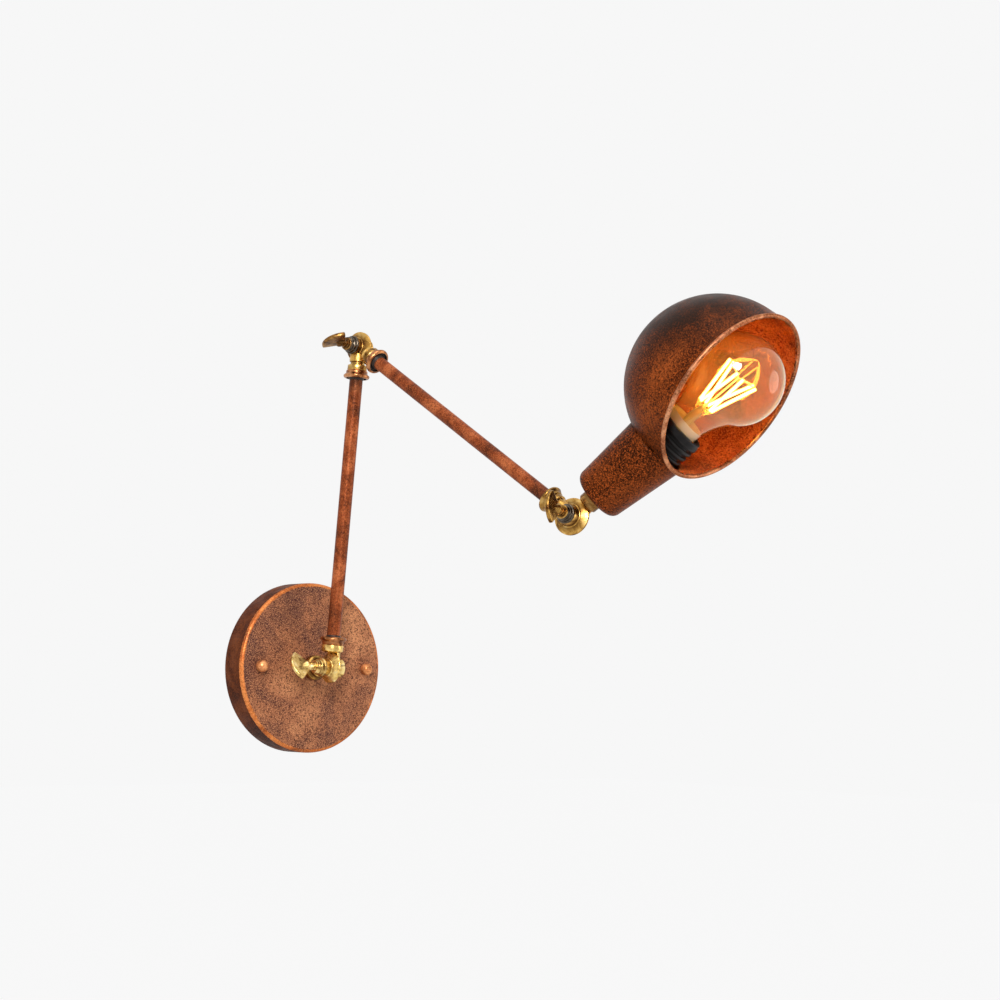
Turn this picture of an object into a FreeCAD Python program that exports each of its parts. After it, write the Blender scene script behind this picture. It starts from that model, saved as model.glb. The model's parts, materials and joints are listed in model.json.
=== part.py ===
import FreeCAD, Part
import math
import os
import re

import Sketcher

# Swing-arm wall lamp: a round backplate, two rods joined by three clamp knuckles with wing
# screws, and a tapered lamp cup that enters a domed shade from the side.
#
# Frame: the wall is the plane Y = 0, the lamp stands out along -Y, +X runs to the right along
# the wall and +Z is up. The origin is the centre of the backplate's back rim.
#
# Each knuckle has a frame of its own: local X is the pivot axis and points to the wing screw,
# local Z is the direction of the neck. Lengths are millimetres, angles are degrees.

SIZES = {
    # backplate and what fastens it
    "plate_diameter": 120.0, "plate_depth": 20.0, "plate_wall": 1.2, "plate_edge_round": 3.0,
    "stud_spacing": 90.0, "stud_diameter": 4.0, "stud_reach": 5.2,
    "ball_nut_diameter": 8.6, "ball_nut_rise": 3.6,
    "bar_overhang": 7.0, "bar_width": 16.0, "bar_thickness": 2.0,
    "slot_spacing": 60.0, "slot_width": 4.5, "slot_length": 9.0,
    "block_length": 26.0, "block_height": 12.0, "block_depth": 9.0, "block_end_gap": 12.0,
    "terminal_pitch": 8.0, "terminal_bore": 3.4, "terminal_height": 3.4,
    "terminal_screw_length": 3.6, "terminal_screw_depth": 0.9,
    "earth_screw_diameter": 4.0, "earth_screw_offset": 19.0,
    "driver_slot_width": 0.8, "driver_slot_depth": 1.0,
    "nut_width": 14.0, "nut_thickness": 3.0, "washer_diameter": 18.0, "washer_thickness": 1.0,
    # clearances, and how far a cutting tool overruns what it cuts
    "fit": 0.05, "swivel_gap": 0.1, "seam": 0.06, "loose": 0.25, "overrun": 1.0,
    # knuckles
    "pivot_reach": 42.0, "knuckle_diameter": 20.0, "head_knuckle_diameter": 23.2,
    "cheek_thickness": 6.6, "cheek_round": 2.6,
    "cheek_gap": 1.0, "fibre_diameter": 15.0, "pivot_diameter": 5.0,
    "neck_diameter": 10.0, "neck_relief": 0.6, "neck_gap": 1.0, "wire_bore": 4.8,
    "web_start": 5.0,
    "nipple_diameter": 7.6, "nipple_bore": 5.2, "nipple_clearance": 1.0, "nipple_overhang": 2.0,
    # wing screws
    "clamp_washer_diameter": 12.0, "clamp_washer_thickness": 1.6, "clamp_washer_round": 0.5,
    "boss_diameter": 10.0, "boss_length": 4.2, "shank_diameter": 6.4, "shank_length": 7.6,
    "pin_recess": 0.6, "wing_length": 22.0, "wing_height": 12.6, "wing_crown": 6.0,
    "wing_foot_width": 8.0, "wing_thickness": 2.8,
    # rods
    "arm_length": 228.0, "rod_diameter": 8.0, "rod_bore": 5.8, "socket_floor": 15.0,
    # collars on the necks
    "ring_diameter": 14.6, "ring_start": 13.2, "ring_length": 4.2, "ring_round": 1.7,
    "ferrule_diameter": 17.6, "ferrule_length": 4.8, "ferrule_wall": 0.8,
    "ferrule_round": 1.8, "lip_diameter": 11.6, "lip_length": 1.8, "lip_round": 0.5,
    "base_ring_diameter": 16.2, "base_ring_start": 11.2, "base_ring_length": 5.0,
    "collar_diameter": 17.0, "collar_step_diameter": 13.4, "collar_step_length": 3.4,
    "collar_start": 12.4, "collar_round": 1.2, "collar_shoulder_round": 1.6,
    # lamp cup
    "cup_start": 19.8, "cup_small_diameter": 35.0, "cup_large_diameter": 44.0,
    "cup_length": 60.0, "cup_taper_length": 50.0, "cup_wall": 1.2, "cup_round": 5.5,
    "cup_collar_diameter": 15.0, "cup_collar_start": 12.8, "cup_collar_round": 2.0,
    "cup_nut_width": 16.0,
    # shade
    "shade_diameter": 116.4, "shade_wall": 1.2, "skirt_length": 13.6,
    "rim_diameter": 3.0, "rim_offset": 0.6,
    "shade_centre": 125.4, "shade_offset": 5.4, "shade_turn": 73.8, "shade_hole_diameter": 40.8,
    # lamp holder
    "holder_entry_start": 27.0, "holder_entry_wall": 3.0, "holder_back_start": 34.0,
    "holder_back_diameter": 26.0, "holder_back_round": 3.0,
    "holder_start": 46.0, "holder_end": 93.0, "holder_diameter": 35.0, "holder_wall": 2.4,
    "holder_bevel": 1.5, "holder_bevel_length": 4.0,
    "rib_start": 72.0, "rib_pitch": 4.4, "rib_depth": 1.4, "rib_crest": 0.4,
    "insert_length": 7.0, "shell_diameter": 28.4, "shell_wall": 0.5, "shell_length": 24.0,
    "tongue_width": 5.0, "tongue_thickness": 0.5, "tongue_height": 5.3,
    # bulb
    "bulb_diameter": 60.0, "bulb_length": 108.0, "glass_wall": 0.8, "glass_seat": 4.0,
    "glass_straight": 6.8, "bulb_neck_diameter": 26.0,
    "cap_diameter": 27.0, "cap_length": 22.0, "cap_wall": 0.35,
    "cap_insulator_length": 3.5, "cap_insulator_lip": 1.5,
    "tip_diameter": 9.0, "tip_length": 1.5, "tip_bevel": 1.0,
    "stem_diameter": 6.4, "stem_flare": 24.2, "stem_flange": 1.0, "stem_seat": 3.6,
    "stem_taper": 9.0, "stem_tip_diameter": 3.2, "stem_tip_length": 4.0, "stem_depth": 27.8,
    "stick_diameter": 1.9, "stick_foot_depth": 25.3, "stick_head_rise": 4.2,
    "stick_foot_radius": 5.6, "stick_head_radius": 13.0,
    "lead_diameter": 0.7, "lead_root": 1.0, "crown_drop": 3.0,
    # wires
    "core_diameter": 2.0, "wire_tail": 4.0,
    # rest pose
    "base_turn": 2.0, "rod_1_lean": 2.8, "elbow_twist": 12.7, "rod_2_lean": 124.0,
    "head_roll": -8.7, "head_bend": 72.7,
    "base_wing_turn": 38.0, "elbow_wing_turn": 54.0, "head_wing_turn": 57.0,
}
STICKS = 6
STICK_SWAY = 0.30            # how far a stick's ends part, as a share of the step between sticks
TERMINALS = 3
GROOVE = (0.15, 0.55)        # where a groove between two ribs runs, as shares of the pitch
CREST = (0.70, 0.95)         # and where the rib's crest runs
TOLERANCE = 1e-4

V = FreeCAD.Vector
X, Y, Z = V(1, 0, 0), V(0, 1, 0), V(0, 0, 1)

doc = FreeCAD.newDocument("WallLamp")
sheet = doc.addObject("Spreadsheet::Sheet", "Sizes")
for row, (alias, number) in enumerate(SIZES.items(), start=1):
    sheet.set(f"A{row}", alias)
    sheet.set(f"B{row}", str(number))
    sheet.setAlias(f"B{row}", alias)
doc.recompute()

gauge = doc.addObject("App::FeaturePython", "Gauge")
gauge.addProperty("App::PropertyFloat", "Reading")


def formula(text):
    """Point every size name in a formula at its cell of the sheet."""
    def cell(match):
        word = match.group(0)
        return "Sizes." + word if word in SIZES else word
    return re.sub(r"[a-z][a-z_0-9]*", cell, str(text))


def size(text):
    """The number that a formula of sizes gives now."""
    gauge.setExpression("Reading", formula(text))
    gauge.recompute()
    return gauge.Reading


def bind(thing, **formulas):
    for prop, text in formulas.items():
        thing.setExpression(prop.replace("__", "."), formula(text))
    return thing


# ---------------------------------------------------------------- shape helpers

names = {}


def unique(word):
    names[word] = names.get(word, 0) + 1
    return f"{word}_{names[word]}"


def cylinder(radius, height, start="0", along=Z):
    """A cylinder about a local axis that starts a distance along it."""
    solid = doc.addObject("Part::Cylinder", unique("cylinder"))
    bind(solid, Radius=radius, Height=height)
    solid.Placement.Rotation = FreeCAD.Rotation(Z, along)
    for letter, part in zip("xyz", along):
        if part:
            bind(solid, **{"Placement__Base__" + letter: f"({start}) * {part:g}"})
    return solid


def block(length, width, height, corner):
    solid = doc.addObject("Part::Box", unique("block"))
    bind(solid, Length=length, Width=width, Height=height)
    for letter, text in zip("xyz", corner):
        bind(solid, **{"Placement__Base__" + letter: text})
    return solid


def ball(radius, centre=("0", "0", "0"), **angles):
    solid = doc.addObject("Part::Sphere", unique("ball"))
    bind(solid, Radius=radius, **angles)
    for letter, text in zip("xyz", centre):
        bind(solid, **{"Placement__Base__" + letter: text})
    return solid


def joined(*solids):
    result = doc.addObject("Part::MultiFuse", unique("joined"))
    result.Shapes = list(solids)
    return result


def cut(base, *tools):
    for tool in tools:
        result = doc.addObject("Part::Cut", unique("cut"))
        result.Base = base
        result.Tool = tool
        base = result
    return base


def shared(one, other):
    result = doc.addObject("Part::Common", unique("shared"))
    result.Base = one
    result.Tool = other
    return result


def group(solids):
    result = doc.addObject("Part::Compound", unique("group"))
    result.Links = solids
    return result


def origin_plane(body, role):
    return next(p for p in body.Origin.OriginFeatures if p.Role == role)


def turned(outline, rounds=()):
    """A body turned about local Z from (radius, height) corners, some edges rounded.

    Each round is (radius of the edge, its height, radius of the rounding).
    """
    body = doc.addObject("PartDesign::Body", unique("turned"))
    sketch = body.newObject("Sketcher::SketchObject", body.Name + "_outline")
    sketch.AttachmentSupport = [(origin_plane(body, "XZ_Plane"), "")]
    sketch.MapMode = "FlatFace"
    corners = [V(size(radius), size(height), 0) for radius, height in outline]
    count = len(corners)
    for i, corner in enumerate(corners):
        sketch.addGeometry(Part.LineSegment(corner, corners[(i + 1) % count]), False)
    for i in range(count):
        sketch.addConstraint(Sketcher.Constraint("Coincident", i, 2, (i + 1) % count, 1))
    for i, texts in enumerate(outline):
        sides = (("DistanceX", -2, corners[i].x), ("DistanceY", -1, corners[i].y))
        for (kind, axis, number), text in zip(sides, texts):
            if text == "0":
                sketch.addConstraint(Sketcher.Constraint("PointOnObject", i, 1, axis))
                continue
            index = sketch.addConstraint(Sketcher.Constraint(kind, -1, 1, i, 1, number))
            sketch.setExpression(f"Constraints[{index}]", formula(text))
    turn = body.newObject("PartDesign::Revolution", body.Name + "_turn")
    turn.Profile = sketch
    turn.ReferenceAxis = (sketch, ["V_Axis"])
    turn.Angle = 360
    for edge_radius, edge_height, rounding in rounds:
        doc.recompute()
        before = body.Tip
        edge = circle_edge(before.Shape, size(edge_radius), size(edge_height))
        fillet = body.newObject("PartDesign::Fillet", unique("rounding"))
        fillet.Base = (before, [edge])
        bind(fillet, Radius=rounding)
        body.Tip = fillet
    return body


def circle_edge(shape, radius, height):
    """The name of the round edge with this radius at this height."""
    for number, edge in enumerate(shape.Edges, start=1):
        if not isinstance(edge.Curve, Part.Circle):
            continue
        level = abs(edge.Curve.Center.z - height) < TOLERANCE
        if level and abs(edge.Curve.Radius - radius) < TOLERANCE:
            return f"Edge{number}"
    raise ValueError(f"no round edge of radius {radius:.2f} at {height:.2f}")


def ring(inner, outer, start, length, rounding=None):
    """A round collar about local Z; its outer edges may be rounded."""
    end = f"({start}) + ({length})"
    outline = [(inner, start), (outer, start), (outer, end), (inner, end)]
    rounds = [(outer, start, rounding), (outer, end, rounding)] if rounding else []
    return turned(outline, rounds)


def hole(radius, thickness, start="0"):
    """A drill through something this thick; it overruns both faces."""
    return cylinder(radius, f"{thickness} + 2 * overrun", f"{start} - overrun")


def hex_nut(width, thickness, bore, start):
    prism = doc.addObject("Part::Prism", unique("prism"))
    prism.Polygon = 6
    bind(prism, Circumradius=f"({width}) / sqrt(3)", Height=thickness, Placement__Base__z=start)
    return cut(prism, hole(bore, thickness, start))


# ---------------------------------------------------------------- frames of the rest pose

def turn_about(axis, degrees):
    return FreeCAD.Rotation(axis, degrees)


def frame(origin, pivot, along):
    """Local X on the pivot axis, local Z along the neck."""
    return FreeCAD.Placement(origin, FreeCAD.Rotation(pivot, along.cross(pivot), along, "XZY"))


def leaning(degrees):
    """A direction in the arms' plane that leans out from the wall by an angle."""
    lean = math.radians(degrees)
    return V(0, -math.sin(lean), math.cos(lean))


base_rotation = turn_about(Y, SIZES["base_turn"])
base_pivot = base_rotation.multVec(-X)
rod_1_way = base_rotation.multVec(leaning(SIZES["rod_1_lean"]))
twist = turn_about(rod_1_way, SIZES["elbow_twist"])
elbow_pivot = twist.multVec(base_pivot)
rod_2_way = twist.multVec(base_rotation.multVec(leaning(SIZES["rod_2_lean"])))
head_pivot = turn_about(rod_2_way, SIZES["head_roll"]).multVec(elbow_pivot)
cup_way = turn_about(head_pivot, SIZES["head_bend"]).multVec(rod_2_way)

base_point = V(0, -SIZES["pivot_reach"], 0)
elbow_point = base_point + rod_1_way * SIZES["arm_length"]
head_point = elbow_point + rod_2_way * SIZES["arm_length"]

WALL = FreeCAD.Placement(V(0, 0, 0), FreeCAD.Rotation(X, 90))      # local Z stands off the wall
BASE = frame(base_point, base_pivot, Y)
ARM_1 = frame(base_point, base_pivot, rod_1_way)
ELBOW = frame(elbow_point, elbow_pivot, -rod_1_way)
ARM_2 = frame(elbow_point, elbow_pivot, rod_2_way)
WRIST = frame(head_point, head_pivot, -rod_2_way)
HEAD = frame(head_point, head_pivot, cup_way)

nodes = {}


def node(label, solid, place):
    """Give a finished piece its name and put its local frame in the lamp."""
    solid.Label = label
    solid.Placement = place.multiply(solid.Placement)
    nodes[label] = solid


# ---------------------------------------------------------------- backplate

def backplate():
    outer, inner = "plate_diameter / 2", "plate_diameter / 2 - plate_wall"
    floor = "plate_depth - plate_wall"
    shell = turned(
        [("0", "plate_depth"), (outer, "plate_depth"), (outer, "0"), (inner, "0"),
         (inner, floor), ("0", floor)],
        [(outer, "plate_depth", "plate_edge_round"),
         (inner, floor, "plate_edge_round - plate_wall")])
    holes = [hole("nipple_diameter / 2 + fit", "plate_depth")]
    for side in (-1, 1):
        stud_hole = hole("stud_diameter / 2 + loose", "plate_depth")
        holes.append(bind(stud_hole, Placement__Base__x=f"{side} * stud_spacing / 2"))
    node("backplate", cut(shell, *holes), WALL)


def slot(centre):
    """A long hole through the bar, along its length."""
    straight = "slot_length - slot_width"
    ends = []
    for side in (-1, 1):
        end = hole("slot_width / 2", "bar_thickness")
        ends.append(bind(end, Placement__Base__x=f"{centre} + {side} * ({straight}) / 2"))
    middle = block(straight, "slot_width", "bar_thickness + 2 * overrun",
                   (f"{centre} - ({straight}) / 2", "-slot_width / 2", "-overrun"))
    return joined(middle, *ends)


BAR_END = "stud_spacing / 2 + bar_overhang"


def mounting_bar():
    bar = block(f"2 * ({BAR_END})", "bar_width", "bar_thickness",
                (f"-({BAR_END})", "-bar_width / 2", "0"))
    tools = [slot(f"{side} * slot_spacing / 2") for side in (-1, 1)]
    tools.append(hole("nipple_diameter / 2 + nipple_clearance", "bar_thickness"))
    for side in (-1, 1):
        stud_hole = hole("stud_diameter / 2 + fit", "bar_thickness")
        tools.append(bind(stud_hole, Placement__Base__x=f"{side} * stud_spacing / 2"))
    earth = hole("earth_screw_diameter / 2 + fit", "bar_thickness")
    tools.append(bind(earth, Placement__Base__x="-earth_screw_offset"))
    node("mounting_bar", cut(bar, *tools), WALL)


def plate_fasteners():
    """Two studs through the bar, and the domed nuts that hold the plate on them."""
    studs, nuts = [], []
    for side in (-1, 1):
        place = f"{side} * stud_spacing / 2"
        stud = cylinder("stud_diameter / 2", "plate_depth + stud_reach")
        studs.append(bind(stud, Placement__Base__x=place))
        dome = ball("ball_nut_diameter / 2", (place, "0", "plate_depth + ball_nut_rise"))
        foot = block("ball_nut_diameter", "ball_nut_diameter", "ball_nut_diameter",
                     (f"{place} - ball_nut_diameter / 2", "-ball_nut_diameter / 2",
                      "plate_depth - ball_nut_diameter"))
        bore = cylinder("stud_diameter / 2 + fit", "plate_depth + stud_reach + fit")
        nuts.append(cut(dome, foot, bind(bore, Placement__Base__x=place)))
    node("plate_studs", group(studs), WALL)
    node("ball_nuts", group(nuts), WALL)


def earth_screw():
    place = "-earth_screw_offset"
    seat = "bar_thickness + swivel_gap"
    top = f"{seat} + earth_screw_diameter / 2"
    shank = cylinder("earth_screw_diameter / 2", seat)
    head = cylinder("earth_screw_diameter", "earth_screw_diameter / 2", seat)
    screw = joined(bind(shank, Placement__Base__x=place), bind(head, Placement__Base__x=place))
    driver_slot = block("2 * (earth_screw_diameter + overrun)", "driver_slot_width",
                        "driver_slot_depth + overrun",
                        (f"{place} - earth_screw_diameter - overrun", "-driver_slot_width / 2",
                         f"{top} - driver_slot_depth"))
    node("earth_screw", cut(screw, driver_slot), WALL)


def terminal_block():
    """A three-way screw connector that sits on the bar, a little in from its end."""
    left = f"{BAR_END} - block_end_gap - block_length"
    top = "bar_thickness + block_depth"
    height = "bar_thickness + terminal_height"
    body = block("block_length", "block_height", "block_depth",
                 (left, "-block_height / 2", "bar_thickness"))
    tools, screws = [], []
    for way in range(TERMINALS):
        place = f"{left} + block_length / 2 + {way - (TERMINALS - 1) / 2:g} * terminal_pitch"
        bore = cylinder("terminal_bore / 2", "block_height + 2 * overrun",
                        "-block_height / 2 - overrun", Y)
        tools.append(bind(bore, Placement__Base__x=place, Placement__Base__z=height))
        well = cylinder("terminal_bore / 2", "block_depth", height)
        tools.append(bind(well, Placement__Base__x=place))
        screw = cylinder("terminal_bore / 2 - fit", "terminal_screw_length",
                         f"{top} - terminal_screw_depth - terminal_screw_length")
        screws.append(bind(screw, Placement__Base__x=place))
    node("terminal_block", cut(body, *tools), WALL)
    node("terminal_screws", group(screws), WALL)


# The neck of the base knuckle is measured from its pivot towards the wall.
PLATE_FRONT = "pivot_reach - plate_depth"
INSIDE = f"{PLATE_FRONT} + plate_wall"
NUT_START = f"{INSIDE} + washer_thickness"
NIPPLE_END = f"{NUT_START} + nut_thickness + nipple_overhang"


def nipple():
    """The hollow threaded tube that carries the base knuckle on the plate."""
    start = "socket_floor + swivel_gap"
    node("plate_nipple", ring("nipple_bore / 2", "nipple_diameter / 2", start,
                              f"{NIPPLE_END} - ({start})"), BASE)
    node("plate_washer", ring("nipple_diameter / 2 + fit", "washer_diameter / 2", INSIDE,
                              "washer_thickness"), BASE)
    node("plate_nut", hex_nut("nut_width", "nut_thickness", "nipple_diameter / 2 + fit",
                              NUT_START), BASE)
    wires("plate_wires", BASE, f"{WEB_TOP} + loose", f"{NIPPLE_END} + wire_tail")


# ---------------------------------------------------------------- knuckles

NECK = "neck_diameter / 2"
ROD = "rod_diameter / 2"
WIRE = "wire_bore / 2"
WEB_TOP = "knuckle_diameter / 2 + neck_relief"
HEAD_WEB_TOP = "head_knuckle_diameter / 2 + neck_relief"


def knuckle_half(side, neck_end, socket_radius=None, cheek_diameter="knuckle_diameter"):
    """A round cheek on one side of the pivot plane, with its neck on the plane itself.

    The neck has a wire hole, and a socket for the tube it carries if a radius is given.
    """
    web_top = f"{cheek_diameter} / 2 + neck_relief"
    cheek = ring("pivot_diameter / 2 + fit", f"{cheek_diameter} / 2", "cheek_gap / 2",
                 "cheek_thickness")
    outer = "cheek_gap / 2 + cheek_thickness"
    fillet = doc.addObject("Part::Fillet", unique("rounding"))
    doc.recompute()
    edge = circle_edge(cheek.Tip.Shape, size(f"{cheek_diameter} / 2"), size(outer))
    fillet.Base = cheek
    rounding = size("cheek_round")
    fillet.Edges = [(int(edge[4:]), rounding, rounding)]
    fillet.Placement = FreeCAD.Placement(V(), FreeCAD.Rotation(Z, X * side))

    web = shared(cylinder(NECK, f"{web_top} - web_start", "web_start"),
                 block("knuckle_diameter", "knuckle_diameter", "knuckle_diameter",
                       ("cheek_gap / 2" if side > 0 else "-cheek_gap / 2 - knuckle_diameter",
                        "-knuckle_diameter / 2", "0")))
    neck = cylinder(NECK, f"{neck_end} - ({web_top})", web_top)
    solid = cut(joined(fillet, web, neck), cylinder(WIRE, neck_end, "web_start"))
    if socket_radius:
        solid = cut(solid, cylinder(socket_radius, neck_end, "socket_floor"))
    return solid


def fibre_washer(place, label):
    """The thin washer between two cheeks; it lies on the wing side's cheek."""
    washer = ring("pivot_diameter / 2 + fit", "fibre_diameter / 2", "-cheek_gap / 2 + swivel_gap",
                  "cheek_gap - swivel_gap")
    washer.Placement = FreeCAD.Placement(V(), FreeCAD.Rotation(Z, X))
    node(label, washer, place)


def wing(foot):
    """A flat fan that widens from its foot to an arched outer edge, along local X and Z."""
    body = doc.addObject("PartDesign::Body", unique("wing"))
    sketch = body.newObject("Sketcher::SketchObject", body.Name + "_outline")
    sketch.AttachmentSupport = [(origin_plane(body, "XZ_Plane"), "")]
    sketch.MapMode = "FlatFace"
    shoulder, top = f"{foot} + wing_height - wing_crown", f"{foot} + wing_height"
    texts = [(foot, "-wing_foot_width / 2"), (shoulder, "-wing_length / 2"),
             (shoulder, "wing_length / 2"), (foot, "wing_foot_width / 2")]
    corners = [V(size(along), size(across), 0) for along, across in texts]
    crown = Part.Arc(corners[1], V(size(top), 0, 0), corners[2])
    sides = [Part.LineSegment(corners[0], corners[1]), crown,
             Part.LineSegment(corners[2], corners[3]), Part.LineSegment(corners[3], corners[0])]
    for side in sides:
        sketch.addGeometry(side, False)
    starts = [(0, 1), (0, 2), (2, 1), (2, 2)]
    for (line, end), (other, start) in (((0, 2), (1, 1)), ((1, 2), (2, 1)), ((2, 2), (3, 1)),
                                        ((3, 2), (0, 1))):
        sketch.addConstraint(Sketcher.Constraint("Coincident", line, end, other, start))
    for (line, end), corner, words in zip(starts, corners, texts):
        for kind, number, text in zip(("DistanceX", "DistanceY"), corner, words):
            index = sketch.addConstraint(Sketcher.Constraint(kind, -1, 1, line, end, number))
            sketch.setExpression(f"Constraints[{index}]", formula(text))
    radius = "wing_length * wing_length / (8 * wing_crown) + wing_crown / 2"
    index = sketch.addConstraint(Sketcher.Constraint("Radius", 1, size(radius)))
    sketch.setExpression(f"Constraints[{index}]", formula(radius))
    pad = body.newObject("PartDesign::Pad", body.Name + "_plate")
    pad.Profile = sketch
    pad.Midplane = True
    bind(pad, Length="wing_thickness")
    return body


def wing_screw(place, label, leaf_turn):
    """The clamp screw: a threaded pin through both cheeks, a boss and a flat wing."""
    outside = "cheek_gap / 2 + cheek_thickness"
    seat = f"{outside} + swivel_gap + clamp_washer_thickness"
    washer = ring("pivot_diameter / 2 + fit", "clamp_washer_diameter / 2",
                  f"{outside} + swivel_gap / 2", "clamp_washer_thickness",
                  "clamp_washer_round")
    washer.Placement = FreeCAD.Placement(V(), FreeCAD.Rotation(Z, X))
    node(label.replace("wing_screw", "clamp_washer"), washer, place)

    pin_start = f"pin_recess - ({outside})"
    pin = cylinder("pivot_diameter / 2", f"{seat} + boss_length / 2 - ({pin_start})",
                   pin_start, X)
    boss = cylinder("boss_diameter / 2", "boss_length", seat, X)
    shank = cylinder("shank_diameter / 2", "shank_length + wing_height / 2",
                     f"{seat} + boss_length", X)
    screw = joined(pin, boss, shank, wing(f"{seat} + boss_length + shank_length"))
    screw.Placement = FreeCAD.Placement(V(), turn_about(X, size(leaf_turn)))
    node(label, screw, place)


def base_joint():
    node("base_knuckle_fixed",
         knuckle_half(1, f"{PLATE_FRONT} - neck_gap", "nipple_diameter / 2 + fit"), BASE)
    step = "collar_start + collar_step_length"
    end = f"{PLATE_FRONT} - swivel_gap"
    collar = turned([(f"{NECK} + fit", "collar_start"),
                     ("collar_step_diameter / 2", "collar_start"),
                     ("collar_step_diameter / 2", step), ("collar_diameter / 2", step),
                     ("collar_diameter / 2", end), (f"{NECK} + fit", end)],
                    [("collar_step_diameter / 2", "collar_start", "collar_round"),
                     ("collar_diameter / 2", step, "collar_shoulder_round"),
                     ("collar_diameter / 2", end, "collar_round")])
    node("base_collar", collar, BASE)
    node("base_knuckle_moving",
         knuckle_half(-1, ferrule_top("base_ring_start + base_ring_length"), f"{ROD} + fit"), ARM_1)
    fibre_washer(BASE, "base_fibre_washer")
    wing_screw(ARM_1, "base_wing_screw", "base_wing_turn")


def elbow_joint():
    neck_end = ferrule_top("ring_start + ring_length")
    node("elbow_knuckle_lower", knuckle_half(1, neck_end, f"{ROD} + fit"), ELBOW)
    node("elbow_knuckle_upper", knuckle_half(-1, neck_end, f"{ROD} + fit"), ARM_2)
    fibre_washer(ELBOW, "elbow_fibre_washer")
    wing_screw(ARM_2, "elbow_wing_screw", "elbow_wing_turn")


def head_joint():
    """The largest knuckle; its two halves are wider than those of the base and the elbow."""
    wide = "head_knuckle_diameter"
    neck_end = ferrule_top("ring_start + ring_length")
    node("head_knuckle_rod_side", knuckle_half(1, neck_end, f"{ROD} + fit", wide), WRIST)
    node("head_knuckle_cup_side",
         knuckle_half(-1, "holder_back_start - neck_gap", cheek_diameter=wide), HEAD)
    fibre_washer(WRIST, "head_fibre_washer")
    wing_screw(HEAD, "head_wing_screw", "head_wing_turn")


# ---------------------------------------------------------------- rods and their collars

def ferrule_top(start):
    """Where the neck ends inside a ferrule that starts at this height."""
    return f"{start} + ferrule_length - ferrule_wall"


def ferrule(start, inner=f"{NECK} + fit"):
    """A flared collar that covers the end of the neck, with a thin lip round the rod."""
    step = f"{start} + ferrule_length"
    end = f"{step} + lip_length"
    flare, lip = "ferrule_diameter / 2", "lip_diameter / 2"
    return turned([(inner, start), (flare, start), (flare, step), (lip, step), (lip, end),
                   (f"{ROD} + fit", end), (f"{ROD} + fit", ferrule_top(start)),
                   (inner, ferrule_top(start))],
                  [(flare, start, "ferrule_round"), (flare, step, "ferrule_round"),
                   (lip, end, "lip_round")])


def wires(label, place, start, end):
    """Two insulated cores side by side along a neck or a rod."""
    cores = []
    for side in (-1, 1):
        core = cylinder("core_diameter / 2", f"{end} - ({start})", start)
        cores.append(bind(core, Placement__Base__y=f"{side} * (core_diameter + fit) / 2"))
    node(label, group(cores), place)


def rod(label, place, floor, far_web):
    node(label, ring("rod_bore / 2", ROD, floor, f"arm_length - 2 * ({floor})"), place)
    wires(label + "_wires", place, f"{WEB_TOP} + loose", f"arm_length - ({far_web}) - loose")


def arms():
    rod("rod_1", ARM_1, "socket_floor", WEB_TOP)
    node("base_lock_ring", ring(f"{NECK} + fit", "base_ring_diameter / 2", "base_ring_start",
                                "base_ring_length - fit", "ring_round"), ARM_1)
    node("rod_1_lower_ferrule", ferrule("base_ring_start + base_ring_length"), ARM_1)
    node("rod_1_upper_ferrule", ferrule("ring_start + ring_length"), ELBOW)
    node("elbow_lower_ring", ring(f"{NECK} + fit", "ring_diameter / 2", "ring_start",
                                  "ring_length - fit", "ring_round"), ELBOW)
    rod("rod_2", ARM_2, "socket_floor + fit", HEAD_WEB_TOP)
    node("elbow_upper_ring", ring(f"{NECK} + fit", "ring_diameter / 2", "ring_start",
                                  "ring_length - fit", "ring_round"), ARM_2)
    node("rod_2_upper_ferrule", ferrule("ring_start + ring_length"), ARM_2)
    node("rod_2_lower_ferrule", ferrule("ring_start + ring_length"), WRIST)
    node("head_lock_ring", ring(f"{NECK} + fit", "ring_diameter / 2", "ring_start",
                                "ring_length - swivel_gap", "ring_round"), WRIST)


# ---------------------------------------------------------------- lamp cup and shade

def shade_place():
    """The shade's own axis, turned away from the cup's; local Z runs out of its mouth."""
    centre = V(0, -SIZES["shade_offset"], SIZES["shade_centre"])
    return FreeCAD.Placement(centre, turn_about(X, -SIZES["shade_turn"]))


def lamp_cup():
    """A tapered cup with a round shoulder, trimmed to the shade's ball."""
    small, large = "cup_small_diameter / 2", "cup_large_diameter / 2"
    taper_end, end = "cup_start + cup_taper_length", "cup_start + cup_length"
    floor = "cup_start + cup_wall"
    shell = turned([(f"{NECK} + fit", "cup_start"), (small, "cup_start"), (large, taper_end),
                    (large, end), (f"{large} - cup_wall", end),
                    (f"{large} - cup_wall", taper_end), (f"{small} - cup_wall", floor),
                    (f"{NECK} + fit", floor)],
                   [(small, "cup_start", "cup_round"),
                    (f"{small} - cup_wall", floor, "cup_round - cup_wall")])
    trim = joined(ball("shade_diameter / 2 + seam"),
                  cylinder("shade_diameter / 2 + seam", "skirt_length"))
    trim.Placement = shade_place()
    node("lamp_cup", cut(shell, trim), HEAD)

    node("cup_collar", ring(f"{NECK} + fit", "cup_collar_diameter / 2", "cup_collar_start",
                            "cup_start - cup_collar_start", "cup_collar_round"), HEAD)
    node("cup_nut", hex_nut("cup_nut_width", "nut_thickness", f"{NECK} + fit", floor), HEAD)


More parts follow.
